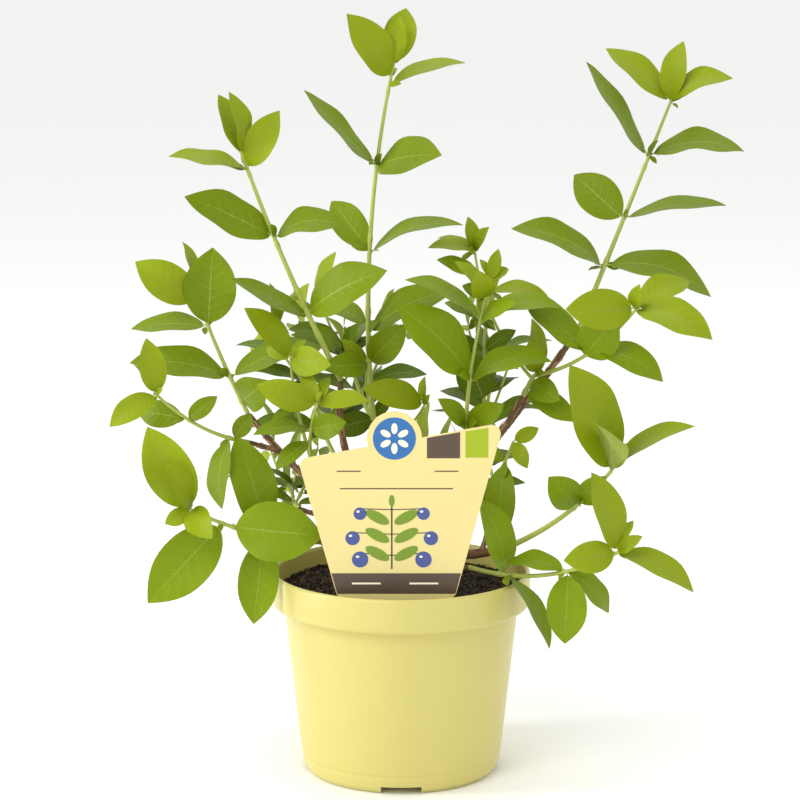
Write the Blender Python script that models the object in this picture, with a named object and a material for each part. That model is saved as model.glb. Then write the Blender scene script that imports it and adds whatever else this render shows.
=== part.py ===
"""Potted honeyberry: a young shrub in a round nursery pot, with its plant label.

Lengths are in millimetres and angles in degrees, and MM turns a length to metres.
X runs to the right of the front view, Y away from the viewer and Z up.
The origin is the middle of the pot's flat underside.
"""
import math

import bmesh
import bpy
import numpy as np
from mathutils.bvhtree import BVHTree

MM = 0.001
GAP = 0.3

# Pot: a 13 cm round nursery pot with a stepped rim band and a notched foot ring
RIM_RADIUS = 65.0
POT_HEIGHT = 103.0
BAND_HEIGHT = 17.5
BAND_WALL = 2.4
WALL = 1.5
NECK_RADIUS = 58.9
HEEL_RADIUS = 50.2
HEEL_HEIGHT = 8.0
FOOT_RADIUS = 46.6
FOOT_RING = 3.2
FLOOR_RISE = 4.0
PAD_RADIUS = 12.0
POT_SIDES = 36
NOTCHES = 4
NOTCH_WIDTH = 20.0
NOTCH_LONG = 14.0
DRAIN_RADIUS = 4.5
DRAIN_CIRCLE = 33.0

# Compost, heaped a little towards the stem
COMPOST_EDGE = 93.5
COMPOST_TOP = 97.0
COMPOST_BUMP = 0.9
COMPOST_SIDES = 36
COLLAR_RADIUS = 11.0

# Label: a card that stands on its own stake just inside the front of the rim
CARD_Y = -48.0
CARD_THICK = 0.9
CARD_FOOT = 102.0
CARD_FOOT_LEFT = -31.5
CARD_FOOT_RIGHT = 26.7
CARD_LEFT = (-48.9, 165.5)
CARD_RIGHT = (48.0, 181.5)
CARD_CORNER = 4.5
CARD_TOP_SLOPE = 0.176
BADGE_X = -3.3
BADGE_Z = 179.3
BADGE_RADIUS = 13.3
STAKE_TOP = 84.0
STAKE_LEFT = -12.0
STAKE_RIGHT = 9.0
STAKE_TIP = (-1.5, 38.0)

# Trunk: a short stump with a root flare, hidden behind the label
TRUNK_FOOT = (9.0, 5.0, COMPOST_TOP + GAP)
TRUNK_TIP = (6.0, 6.0, 123.0)
TRUNK_BOW = (1.5, 0.0, 0.0)
TRUNK_RADIUS = 5.6
TRUNK_TIP_RADIUS = 4.2
TRUNK_FLARE = 3.2

LIMB_SIDES = 6
LIMB_RINGS = 7
TWIG_SIDES = 3
TWIG_RINGS = 5

# Boughs: name, the limb it leaves, how far along that limb, its tip, the bow
# of its middle, and its radius at the foot and at the tip
BOUGHS = (
    ("bough_centre", "trunk", 1.00, (-14, 12, 177), (3, 1, 0), 2.3, 1.7),
    ("bough_left", "trunk", 0.84, (-30, 2, 199), (-12, -3, -8), 2.2, 1.5),
    ("bough_right", "trunk", 0.88, (89, 20, 221), (1, 1, -2), 2.5, 1.5),
    ("bough_low_right", "trunk", 0.46, (52, -8, 115.5), (0, -2, -2), 2.4, 1.9),
    ("bough_bottom_right", "trunk", 0.22, (34, -14, 107), (0, -3, 0), 1.8, 1.4),
    ("bough_low_left", "trunk", 0.40, (-50, -10, 120), (0, -3, 2), 2.0, 1.5),
    ("bough_upper_left", "trunk", 0.62, (-77, 8, 181), (4, 3, -16), 2.2, 1.4),
    ("bough_back_left", "trunk", 0.60, (-34, 50, 150), (-4, 4, -8), 2.2, 1.5),
    ("bough_back_right", "trunk", 0.70, (40, 54, 150), (3, 4, -8), 2.2, 1.5),
    ("bough_mid_left", "bough_upper_left", 0.84, (-76, -3, 168.5), (0, -1, 0), 1.3, 1.1),
    ("bough_inner_left", "bough_upper_left", 0.42, (-40, -1, 146), (-2, -2, 0), 1.5, 1.2),
    ("bough_middle", "bough_centre", 0.30, (-4, 20, 157), (2, 1, -2), 1.5, 1.2),
    ("bough_inner_right", "bough_right", 0.20, (32, -2, 172), (3, -3, -3), 1.6, 1.2),
    ("bough_inner_back", "bough_right", 0.30, (42, 14, 181), (2, 0, -4), 1.5, 1.1),
    ("bough_mid_right", "bough_right", 0.55, (61, 9, 190), (0, -1, 0), 1.4, 1.2),
    ("bough_small_right", "bough_low_right", 0.72, (50, 2, 152), (1, 2, 0), 1.3, 1.0),
    ("bough_back_top", "bough_back_left", 0.50, (-16, 46, 172), (2, 3, -4), 1.6, 1.2),
    ("bough_back_low_left", "bough_back_left", 0.42, (-52, 34, 126), (-2, 2, -2), 1.5, 1.2),
    ("bough_back_low_right", "bough_back_right", 0.38, (34, 46, 124), (3, 2, -2), 1.5, 1.2),
)

# Leafy shoots of each mass: the tip, the bow of the middle, the radius at the foot
# and at the tip, the shoot that it leaves and how far along (None is the bough's
# tip), then its leaves. A leaf is how far along the shoot it sits, its angle in the
# front view, its length, how far it leans towards the viewer, how far its face is
# turned up from the viewer, and its width where that isn't the usual one.
MASSES = {
    "tall_centre": ("bough_centre", (
        ((-3, 30, 358), (-7, -2, 0), 1.5, 0.8, None, 0.0, (
            (1.00, 84, 26, 15, 0), (1.00, 77, 29, -14, 0, 0.56),
            (0.94, 123, 41, 10, 18, 0.46), (0.92, 17, 40, -10, 62, 0.42, 0.07),
            (0.70, 131, 54, 15, 66, 0.40, -0.03), (0.70, 18, 50, 50, 36, 0.46, 0.05),
            (0.47, 130, 33, -25, 0, 0.50), (0.46, 19, 49, 5, 68, 0.42, 0.12),
            (0.26, 164, 35, -35, 50), (0.24, 28, 50, 5, 52, 0.46),
            (0.16, 50, 33, 20, 0, 0.48), (0.15, 174, 31, 30, 15))),
    )),
    "tall_left": ("bough_left", (
        ((-78, -17, 316), (-2, 0, -1), 1.5, 0.8, None, 0.0, (
            (1.00, 110, 31, 0, 45, 0.50, 0.04), (1.00, 99, 33, 18, 55),
            (0.91, 167, 39, 10, 60, 0.42, 0.06), (0.92, 61, 33, 0, 8, 0.46),
            (0.63, 152, 49, 15, 35, 0.46, 0.03), (0.63, 11, 36, 10, 46, 0.52, 0.20),
            (0.28, 150, 44, 10, 62, 0.42, -0.01), (0.30, 33, 50, 25, 30, 0.48),
            (0.36, 168, 19, -50, 0), (0.24, -55, 23, -40, 43))),
    )),
    "tall_right": ("bough_right", (
        ((136, 36, 337), (0, -1, 0), 1.4, 0.7, None, 0.0, (
            (1.00, 80, 31, 5, 30, 0.46), (1.00, 98, 14, -20, 48),
            (1.00, 139, 42, -10, 42, 0.46, 0.05), (0.99, 25, 34, 20, 48, 0.48, 0.20),
            (0.74, 122, 59, 10, 64, 0.40, -0.02), (0.75, 5, 47, 10, 55, 0.46, 0.13),
            (0.48, 139, 34, -20, 0, 0.60, 0.02), (0.48, 11, 52, 15, 70, 0.42, 0.05),
            (0.27, 154, 53, 15, 55, 0.46, 0.11), (0.28, -14, 55, 10, 52, 0.46, 0.15))),
    )),
    "mid_right": ("bough_mid_right", (
        ((67, 4, 202), (0, 0, 0), 1.2, 1.0, None, 0.0, (
            (1.00, 96, 20, 20, 0, 0.56), (1.00, 92, 28, -20, 43),
            (0.60, -25, 21, 45, 0, 0.60), (0.20, -28, 30, 20, 15))),
        ((115, -26, 240), (1, -1, -6), 1.1, 0.7, 0, 0.90, (
            (1.00, 176, 36, 20, 0, 0.56, 0.04), (1.00, -17, 41, 25, 38, 0.50, 0.14),
            (1.00, 25, 33, -25, 35, 0.50, 0.15), (1.00, 87, 18, 40, 38),
            (0.46, 55, 30, 15, 0, 0.68), (0.52, 141, 41, -10, 38, 0.44, 0.02),
            (0.58, -23, 37, 20, 40, 0.50, 0.12))),
        ((37, 34, 261), (-5, 1, -3), 0.9, 0.6, 0, 0.75, (
            (1.00, 171, 25, 20, 55), (1.00, 161, 21, -10, 55),
            (1.00, 101, 18, 5, 14), (1.00, 65, 18, 10, 42),
            (0.80, 156, 23, 0, 34), (0.76, 28, 16, -20, 10))),
    )),
    "low_right": ("bough_low_right", (
        ((103, -38, 162), (2, -3, -3), 1.6, 0.9, None, 0.0, (
            (1.00, 110, 57, 5, 35, 0.54, 0.05), (1.00, 106, 46, 22, 120),
            (1.00, 34, 48, 15, 70, 0.42), (1.00, 40, 24, -40, 54),
            (0.63, 130, 25, 30, 0, 0.66), (0.65, 51, 21, 10, 0, 0.60))),
    )),
    "bottom_right": ("bough_bottom_right", (
        ((106, -58, 126), (0, -8, -6), 1.3, 0.8, None, 0.0, (
            (1.00, 107, 42, 5, 38, 0.46, 0.06), (1.00, -25, 41, 8, 50, 0.42, 0.12),
            (0.97, -177, 27, 20, 0, 0.58), (1.00, 43, 17, 30, 25),
            (1.00, 59, 19, -10, 45), (0.65, -92, 35, 10, 0, 0.56),
            (0.65, -47, 34, -20, 42), (0.64, 176, 32, -30, 50),
            (0.24, 107, 42, 10, 38, 0.46), (0.26, -57, 42, 28, 60, 0.36, 0.08))),
    )),
    "low_left": ("bough_low_left", (
        ((-104, -40, 143), (0, -1, -3), 1.4, 0.8, None, 0.0, (
            (1.00, 115, 47, 10, 0, 0.50), (1.00, 111, 36, 25, 48),
            (0.98, -36, 28, 60, 0, 0.50), (1.00, -154, 14, 20, 0, 0.60),
            (0.62, -3, 46, 12, 0, 0.64), (0.70, -135, 53, 20, 0, 0.50, 0.04),
            (0.33, -97, 44, 10, 0, 0.46, 0.05), (0.33, 106, 51, -14, 20, 0.44))),
    )),
    "mid_left": ("bough_mid_left", (
        ((-121, -22, 197), (-1, -2, -4), 1.1, 0.7, None, 0.0, (
            (1.00, 98, 29, 10, 14, 0.46), (1.00, -149, 28, 25, 20, 0.46),
            (1.00, 128, 19, -20, 60), (0.65, 175, 26, -20, 0, 0.52),
            (0.63, 39, 19, 10, 0, 0.46), (0.19, -97, 36, 15, 46, 0.46),
            (0.15, 55, 15, 30, 0, 0.60))),
    )),
    "upper_left": ("bough_upper_left", (
        ((-104, 18, 243), (-1, 2, -1), 1.2, 0.7, None, 0.0, (
            (0.90, 146, 37, 10, 0, 0.52), (1.00, 104, 26, -20, 60),
            (0.97, 78, 18, -35, 54), (0.70, 86, 40, 5, 0, 0.66, 0.03),
            (0.70, -178, 40, -10, 56, 0.44, 0.05), (0.30, 168, 51, 15, 50, 0.46, 0.08),
            (0.29, 19, 49, -5, 56, 0.46), (0.10, 45, 27, 45, 0, 0.68))),
    )),
    "inner_left": ("bough_inner_left", (
        ((-55, -2, 212), (-3, 2, 0), 1.2, 0.6, None, 0.0, (
            (1.00, 130, 34, 5, 38, 0.46), (1.00, 51, 13, -30, 32),
            (1.00, 162, 15, -30, 0), (0.99, 1, 28, 45, 0, 0.54),
            (0.60, -152, 15, 20, 41), (0.60, 20, 23, -30, 40))),
        ((-41, -18, 191), (-3, -5, 0), 1.0, 0.6, 0, 0.12, (
            (1.00, 158, 32, 15, 0, 0.46), (1.00, 9, 27, 20, 38),
            (1.00, 113, 18, -10, 0, 0.45), (1.00, 65, 16, -30, 27),
            (0.62, 178, 30, 25, 54), (0.64, 19, 22, 35, 0, 0.60),
            (0.46, -145, 23, 30, 28))),
    )),
    "middle": ("bough_middle", (
        ((-17, 22, 205), (-5, -1, 0), 0.9, 0.6, None, 0.0, (
            (0.98, 134, 18, 10, 0), (1.00, 50, 12, -30, 0, 0.50),
            (0.40, -168, 23, 20, 0, 0.56), (0.40, 53, 13, -10, 0, 0.51))),
        ((12, 8, 186), (2, 0, -2), 0.8, 0.6, 0, 0.15, (
            (0.98, 161, 34, 20, 24, 0.46), (1.00, 90, 14, 0, 46),
            (1.00, 70, 9, 20, 26))),
    )),
    "inner_right": ("bough_inner_right", (
        ((42, -12, 244), (-2, 1, 0), 1.2, 0.7, None, 0.0, (
            (1.00, 128, 25, 15, 50), (1.00, 107, 24, 10, 0, 0.50),
            (0.82, 149, 43, 10, 64), (0.84, 9, 40, 5, 60, 0.44, 0.12),
            (0.80, 36, 27, 40, 50), (0.82, 158, 24, -40, 40),
            (0.42, 134, 52, 10, 28, 0.50), (0.37, 19, 43, 15, 54, 0.46, 0.18),
            (0.06, 130, 24, 30, 28), (0.07, 33, 23, 20, 0, 0.52))),
    )),
    "inner_back": ("bough_inner_back", (
        ((45, 13, 249), (-2, 0, 0), 0.9, 0.6, None, 0.0, (
            (1.00, 77, 16, 0, 7), (0.99, 117, 12, -20, 34),
            (0.90, -3, 30, 15, 54), (0.87, 159, 14, 10, 0, 0.53),
            (0.46, 160, 18, -15, 0), (0.45, 33, 19, -20, 15),
            (0.12, 95, 39, 10, 54), (0.08, 111, 32, 20, 0, 0.58))),
    )),
    "small_right": ("bough_small_right", (
        ((56, -6, 170), (0, 0, 0), 0.9, 0.6, None, 0.0, (
            (1.00, 30, 14, 10, 0, 0.53), (1.00, -61, 16, 35, 0, 0.50),
            (0.35, -93, 39, 15, 24), (0.30, 146, 18, -20, 18))),
    )),
}

# Masses at the back, which the front view doesn't show: the bough, the stem's tip and
# bow, how many pairs of leaves, and the seed of its side shoots and leaves
BACK_MASSES = {
    "back_left": ("bough_back_left", (-50, 86, 212), (-4, 6, -4), 4, 11),
    "back_right": ("bough_back_right", (44, 88, 216), (4, 6, -4), 4, 12),
    "back_top": ("bough_back_top", (-30, 64, 214), (-2, 6, 0), 4, 13),
    "back_low_left": ("bough_back_low_left", (-56, 92, 132), (-3, 5, -4), 4, 14),
    "back_low_right": ("bough_back_low_right", (24, 104, 134), (4, 5, -4), 4, 15),
}

# Stem and side shoots of a mass at the back: radii at foot and tip, longest leaves,
# where the side shoots leave, how far they reach and how wide they spread
STEM_RADII = (1.2, 0.7)
SIDE_RADII = (0.9, 0.6)
STEM_LEAF = 34.0
SIDE_LEAF = 30.0
SIDE_SHARES = (0.25, 0.55)
SIDE_REACH = (38.0, 50.0)
SIDE_BOW = (0, 2, -3)
SIDE_SPREAD = 32.0
SIDE_PAIRS = 2

# Leaf blade: share along it, half width and half thickness of each cross-section
LEAF_WIDTH = 0.42
LEAF_ARCH = 0.10
LEAF_FOLD = 0.16
LEAF_THICK = 0.016
LEAF_ROWS = ((0.18, 0.72), (0.48, 1.00), (0.80, 0.72))
LEAF_CLEAR_FROM = 0.25
LEAF_ROOT_WIDE = 0.6
LEAF_ROOT_THICK = 0.4
ROOT_SET = 0.45
LEAF_SPARE = 0.8
# Faces that meet flatter than this are merged after fusing
FLAT_ANGLE = math.radians(0.3)
# Turns in depth that are tried in order when a leaf would touch something
SWINGS = (0, 12, -12, 24, -24, 36, -36)


def unit(vector):
    return vector / np.linalg.norm(vector)


def curve(foot, tip, bow, shares):
    """Points from foot to tip, pushed sideways by the bow, most at the middle."""
    foot, tip, bow = (np.asarray(point, float) for point in (foot, tip, bow))
    share = np.atleast_1d(shares)[:, None]
    return foot + share * (tip - foot) + 4 * share * (1 - share) * bow


def tube(points, radii, sides):
    """Closed tube round a path: a ring of corners at each point, flat at both ends."""
    rings = len(points)
    tangents = np.gradient(points, axis=0)
    tangents /= np.linalg.norm(tangents, axis=1)[:, None]
    middle = tangents.mean(0)
    reference = np.eye(3)[np.argmin(np.abs(middle))]
    across = np.cross(tangents, reference)
    across /= np.linalg.norm(across, axis=1)[:, None]
    upward = np.cross(tangents, across)
    turn = 2 * np.pi * np.arange(sides) / sides
    ring = (np.cos(turn)[None, :, None] * across[:, None] +
            np.sin(turn)[None, :, None] * upward[:, None])
    corners = (points[:, None] + np.asarray(radii)[:, None, None] * ring).reshape(-1, 3)
    faces = []
    for row in range(rings - 1):
        for side in range(sides):
            a, b = row * sides + side, row * sides + (side + 1) % sides
            faces += [(a, b, b + sides), (a, b + sides, a + sides)]
    last = (rings - 1) * sides
    for side in range(1, sides - 1):
        faces += [(0, side + 1, side), (last, last + side, last + side + 1)]
    return corners, faces


def heading(angle, toward):
    """Direction from its angle in the front view and its lean towards the viewer."""
    angle, toward = math.radians(angle), math.radians(toward)
    return np.array((math.cos(toward) * math.cos(angle), -math.sin(toward),
                     math.cos(toward) * math.sin(angle)))


def leaf_face(along, turn):
    """Way the leaf's upper face looks: to the viewer at turn 0, up at turn 90."""
    viewer = np.array((0.0, -1.0, 0.18))
    front = unit(viewer - along * viewer.dot(along))
    above = np.cross(along, front)
    above *= 1 if above[2] >= 0 else -1
    turn = math.radians(turn)
    return math.cos(turn) * front + math.sin(turn) * above


def leaf(root, along, face, length, width, arch, spare=0.0, start=0.0):
    """Closed leaf blade: a small root, wide folded cross-sections and a point."""
    across = np.cross(along, face)
    rows = [(start, LEAF_ROOT_WIDE + spare, LEAF_ROOT_THICK + spare, 0.0)]
    for share, fullness in LEAF_ROWS:
        half = 0.5 * width * length * fullness
        if share > start:
            rows.append((share, half + spare, 0.5 * LEAF_THICK * length + spare, LEAF_FOLD * half))
    corners = []
    for share, half, thick, lift in rows:
        rise = arch * length * 4 * share * (1 - share)
        middle = root + share * length * along + rise * face
        corners += [middle + half * across + lift * face, middle - thick * face,
                    middle - half * across + lift * face, middle + thick * face]
    corners.append(root + (length + spare) * along)
    faces = [(0, 2, 1), (0, 3, 2)]
    for row in range(len(rows) - 1):
        for side in range(4):
            a, b = 4 * row + side, 4 * row + (side + 1) % 4
            faces += [(a, b, b + 4), (a, b + 4, a + 4)]
    last = 4 * (len(rows) - 1)
    for side in range(4):
        faces.append((last + side, last + (side + 1) % 4, last + 4))
    return np.array(corners), faces


def tree_of(solid):
    corners, faces = solid
    return BVHTree.FromPolygons([tuple(corner) for corner in corners], faces)


def signed_distance(tree, point):
    """Distance from a solid's surface, below zero inside it."""
    spot, normal, _, distance = tree.find_nearest(tuple(point))
    outside = (np.asarray(point) - np.asarray(spot)).dot(np.asarray(normal)) >= 0
    return distance if outside else -distance


def clear_share(foot, tip, bow, radius, tree):
    """How far along a limb its flat foot first stands GAP clear of what carries it."""
    for share in np.arange(0.0, 0.6, 0.002):
        ends = curve(foot, tip, bow, (share, share + 0.01))
        centre, along = ends[0], unit(ends[1] - ends[0])
        side = unit(np.cross(along, np.eye(3)[np.argmin(np.abs(along))]))
        other = np.cross(along, side)
        ring = [centre] + [centre + radius * (math.cos(turn) * side + math.sin(turn) * other)
                           for turn in np.linspace(0, 2 * math.pi, 12, endpoint=False)]
        if min(signed_distance(tree, point) for point in ring) >= GAP:
            return share
    raise ValueError("limb never clears what carries it")


def material(name, colour, roughness):
    """Plain dielectric of one sRGB colour."""
    shade = bpy.data.materials.new(name)
    shade.use_nodes = True
    surface = shade.node_tree.nodes["Principled BSDF"]
    channels = [int(colour[place:place + 2], 16) / 255 for place in (0, 2, 4)]
    linear = [((value + 0.055) / 1.055) ** 2.4 if value > 0.04045 else value / 12.92
              for value in channels]
    surface.inputs["Base Color"].default_value = (*linear, 1.0)
    surface.inputs["Roughness"].default_value = roughness
    surface.inputs["Metallic"].default_value = 0.0
    shade.diffuse_color = (*linear, 1.0)
    return shade


def add_object(name, solid, shade):
    """Object from corners in millimetres and their faces."""
    corners, faces = solid
    mesh = bpy.data.meshes.new(name)
    mesh.from_pydata([tuple(corner * MM) for corner in np.asarray(corners)], [], faces)
    mesh.update()
    thing = bpy.data.objects.new(name, mesh)
    bpy.context.scene.collection.objects.link(thing)
    mesh.materials.append(shade)
    return thing


def smooth(thing, angle=40.0):
    thing.data.shade_smooth()
    thing.data.set_sharp_from_angle(angle=math.radians(angle))


def turned(profile, sides):
    """Closed body turned round Z from a profile that starts and ends on the axis."""
    profile = np.asarray(profile, float)
    inner = profile[1:-1]
    turn = 2 * np.pi * np.arange(sides) / sides
    round_part = np.stack([inner[:, None, 0] * np.cos(turn), inner[:, None, 0] * np.sin(turn),
                           np.repeat(inner[:, 1:2], sides, axis=1)], -1).reshape(-1, 3)
    first, last = len(round_part), len(round_part) + 1
    corners = np.vstack([round_part, (0, 0, profile[0, 1]), (0, 0, profile[-1, 1])])
    faces = []
    for side in range(sides):
        after = (side + 1) % sides
        faces.append((first, after, side))
        for row in range(len(inner) - 1):
            a, b = row * sides + side, row * sides + after
            faces += [(a, b, b + sides), (a, b + sides, a + sides)]
        top = (len(inner) - 1) * sides
        faces.append((last, top + side, top + after))
    return corners, faces


def cutter(name, solid):
    thing = add_object(name, solid, bpy.data.materials["cutter"])
    thing.hide_render = True
    thing.display_type = 'WIRE'
    return thing


def cut(thing, tool):
    boolean = thing.modifiers.new(tool.name, 'BOOLEAN')
    boolean.operation = 'DIFFERENCE'
    boolean.solver = 'EXACT'
    boolean.object = tool


def box(centre, size, turn=0.0):
    """Block with its middle at centre, turned about Z."""
    signs = np.array([(x, y, z) for z in (-1, 1) for y in (-1, 1) for x in (-1, 1)], float)
    corners = signs * np.asarray(size, float) / 2
    turn = math.radians(turn)
    spin = np.array(((math.cos(turn), math.sin(turn), 0),
                     (-math.sin(turn), math.cos(turn), 0), (0, 0, 1)))
    corners = (corners + np.asarray(centre, float)) @ spin
    faces = [(0, 2, 3, 1), (4, 5, 7, 6), (0, 1, 5, 4), (2, 6, 7, 3), (0, 4, 6, 2), (1, 3, 7, 5)]
    return corners, faces


def inner_wall(height):
    """Inner radius of the pot's wall below the rim band."""
    slope = (NECK_RADIUS - HEEL_RADIUS) / (POT_HEIGHT - BAND_HEIGHT - HEEL_HEIGHT)
    return HEEL_RADIUS - WALL + slope * (height - HEEL_HEIGHT)


def add_pot():
    """Turned shell on a foot ring, with four notches and four drain holes."""
    step = POT_HEIGHT - BAND_HEIGHT
    floor = FLOOR_RISE + WALL
    mouth = RIM_RADIUS - BAND_WALL
    profile = (
        (0, 0), (PAD_RADIUS, 0), (PAD_RADIUS + 1, FLOOR_RISE),
        (FOOT_RADIUS - FOOT_RING - 0.5, FLOOR_RISE), (FOOT_RADIUS - FOOT_RING, 0), (FOOT_RADIUS, 0),
        (HEEL_RADIUS - 0.9, HEEL_HEIGHT * 0.35), (HEEL_RADIUS, HEEL_HEIGHT),
        (NECK_RADIUS, step - 1), (NECK_RADIUS + 1, step),
        (RIM_RADIUS - 1.2, step), (RIM_RADIUS, step + 1.6),
        (RIM_RADIUS, POT_HEIGHT - 1), (RIM_RADIUS - 0.8, POT_HEIGHT),
        (mouth + 0.7, POT_HEIGHT), (mouth, POT_HEIGHT - 1),
        (mouth - 0.2, step + WALL + 1), (inner_wall(step) + 0.8, step + WALL),
        (inner_wall(step), step - 1), (inner_wall(HEEL_HEIGHT + 2), HEEL_HEIGHT + 2),
        (FOOT_RADIUS - 1, floor), (0, floor))
    pot = add_object("pot", turned(profile, POT_SIDES), material("pot", "E2D67F", 0.35))
    smooth(pot)
    for number in range(NOTCHES):
        turn = 360 * number / NOTCHES
        notch = box((0, -FOOT_RADIUS, FLOOR_RISE / 2 - 1), (NOTCH_WIDTH, NOTCH_LONG, FLOOR_RISE + 2), turn)
        cut(pot, cutter(f"notch_{number}", notch))
        reach = math.radians(turn + 45)
        middle = np.array((DRAIN_CIRCLE * math.cos(reach), DRAIN_CIRCLE * math.sin(reach), 0))
        bore = tube(middle + np.array(((0, 0, 1.0), (0, 0, 9.0))), (DRAIN_RADIUS,) * 2, 12)
        cut(pot, cutter(f"drain_{number}", bore))


def add_compost():
    """Filling that follows the pot's inside, with a low mound and a flat collar."""
    step = POT_HEIGHT - BAND_HEIGHT
    floor = FLOOR_RISE + WALL + GAP
    mouth = RIM_RADIUS - BAND_WALL - 2 * GAP
    profile = [(0, floor), (FOOT_RADIUS - 1 - 2 * GAP, floor),
               (inner_wall(HEEL_HEIGHT + 2) - 1.5 * GAP, HEEL_HEIGHT + 2),
               (inner_wall(step) - 1.5 * GAP, step - 0.5),
               (inner_wall(step), step + WALL + 1.5 * GAP), (mouth, step + WALL + 1.5 + GAP),
               (mouth, COMPOST_EDGE)]
    for radius in (50.0, 37.0, 24.0, COLLAR_RADIUS):
        rise = (1 - (radius - COLLAR_RADIUS) / (mouth - COLLAR_RADIUS)) * (COMPOST_TOP - COMPOST_EDGE)
        profile.append((radius, COMPOST_EDGE + rise))
    profile.append((0, COMPOST_TOP))
    corners, faces = turned(profile, COMPOST_SIDES)
    radius = np.hypot(corners[:, 0] - TRUNK_FOOT[0], corners[:, 1] - TRUNK_FOOT[1])
    top = corners[:, 2] >= COMPOST_EDGE
    angle = np.arctan2(corners[:, 1], corners[:, 0])
    bump = np.sin(5 * angle + corners[:, 0] * 0.21) * np.cos(3 * angle - corners[:, 1] * 0.17)
    lift = np.where(top & (radius > COLLAR_RADIUS + 2), COMPOST_BUMP * bump - COMPOST_BUMP, 0)
    inside = radius <= COLLAR_RADIUS + 2
    corners[:, 2] += lift
    corners[:, 2] = np.where(top & inside, COMPOST_TOP, corners[:, 2])
    compost = add_object("compost", (corners, faces), material("compost", "2A2218", 0.95))
    smooth(compost, 60.0)
    cut(compost, cutter("label_slot", label_solid(2 * GAP, stake_only=True)))


def label_solid(grow=0.0, stake_only=False):
    """Flat card with a round badge on its top edge and a pointed stake below."""
    half = CARD_THICK / 2 + grow
    stake = [(STAKE_RIGHT + grow, STAKE_TOP), (STAKE_TIP[0] + grow, STAKE_TIP[1] - grow),
             (STAKE_TIP[0] - grow, STAKE_TIP[1] - grow), (STAKE_LEFT - grow, STAKE_TOP)]
    if stake_only:
        outline = stake + [(CARD_FOOT_LEFT - 1, CARD_FOOT), (CARD_FOOT_RIGHT + 1, CARD_FOOT)]
    else:
        outline = stake + [(CARD_FOOT_LEFT, CARD_FOOT)]
        outline += corner_arc(CARD_LEFT, 195, 100)
        outline += badge_arc()
        outline += corner_arc(CARD_RIGHT, 100, -20)
        outline += [(CARD_FOOT_RIGHT, CARD_FOOT)]
    outline = outline[::-1]
    count = len(outline)
    corners = [(x, CARD_Y - half, z) for x, z in outline] + [(x, CARD_Y + half, z) for x, z in outline]
    faces = [tuple(range(count)), tuple(range(2 * count - 1, count - 1, -1))]
    for place in range(count):
        after = (place + 1) % count
        faces.append((place, place + count, after + count, after))
    return np.array(corners), faces


def corner_arc(corner, start, end):
    """Round corner of the card, as an arc that starts and ends at the given angles."""
    x, z = corner
    inward = 1 if x < 0 else -1
    middle = (x + inward * CARD_CORNER, z)
    turns = np.radians(np.linspace(start, end, 6))
    return [(middle[0] + CARD_CORNER * math.cos(turn), middle[1] + CARD_CORNER * math.sin(turn))
            for turn in turns]


def badge_arc():
    """Upper part of the round badge, from where the card's top edge meets it."""
    lean = math.degrees(math.atan(CARD_TOP_SLOPE))
    turns = np.radians(np.linspace(180 + lean + 8, lean - 8, 13))
    return [(BADGE_X + BADGE_RADIUS * math.cos(turn), BADGE_Z + BADGE_RADIUS * math.sin(turn))
            for turn in turns]


def add_label():
    add_object("plant_label", label_solid(), material("plant_label", "F1EBAA", 0.45))


def add_limbs(bark):
    """Trunk and boughs, each bough's flat foot GAP clear of the limb that carries it."""
    shares = np.linspace(0, 1, LIMB_RINGS)
    flare = TRUNK_FLARE * np.exp(-shares / 0.16)
    radii = TRUNK_RADIUS + (TRUNK_TIP_RADIUS - TRUNK_RADIUS) * shares + flare
    points = curve(TRUNK_FOOT, TRUNK_TIP, TRUNK_BOW, shares)
    points[0, 2] = TRUNK_FOOT[2]
    solid = tube(points, radii, 2 * LIMB_SIDES)
    solid[0][:2 * LIMB_SIDES, 2] = TRUNK_FOOT[2]
    smooth(add_object("trunk", solid, bark))
    limbs = {"trunk": ((TRUNK_FOOT, TRUNK_TIP, TRUNK_BOW), tree_of(solid))}
    for name, parent, share, tip, bow, foot_radius, tip_radius in BOUGHS:
        route, tree = limbs[parent]
        foot = curve(*route, share)[0]
        start = clear_share(foot, tip, bow, foot_radius, tree)
        shares = np.linspace(start, 1, LIMB_RINGS)
        radii = foot_radius + (tip_radius - foot_radius) * shares
        solid = tube(curve(foot, tip, bow, shares), radii, LIMB_SIDES)
        smooth(add_object(name, solid, bark))
        limbs[name] = ((foot, tip, bow), tree_of(solid))
    return limbs


def main_shoots(mass):
    """Shoots of a mass as rows of tip, bow, radii, carrier, share and leaves."""
    if mass in MASSES:
        return MASSES[mass][1]
    _, tip, bow, pairs, seed = BACK_MASSES[mass]
    return back_shoots(mass, np.array(tip, float), bow, pairs, np.random.default_rng(seed))


def back_shoots(mass, tip, bow, pairs, draw):
    """Stem and two side shoots with opposite pairs, each pair crossing the one before."""
    foot = np.array(dict((row[0], row[3]) for row in BOUGHS)[BACK_MASSES[mass][0]], float)
    rows = [(tip, bow, *STEM_RADII, None, 0.0, paired_leaves(tip - foot, pairs, STEM_LEAF, draw))]
    for number, share in enumerate(SIDE_SHARES):
        base = curve(foot, tip, bow, share)[0]
        outward = unit(np.array((SIDE_SPREAD * (1 - 2 * number), 40.0, 30.0)) +
                       draw.uniform(-12, 12, 3))
        reach = draw.uniform(*SIDE_REACH) * (1 - 0.3 * share)
        side_tip = base + reach * unit(outward + 0.7 * unit(tip - foot))
        rows.append((side_tip, SIDE_BOW, *SIDE_RADII, 0, share,
                     paired_leaves(side_tip - base, SIDE_PAIRS, SIDE_LEAF, draw)))
    return rows


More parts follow.
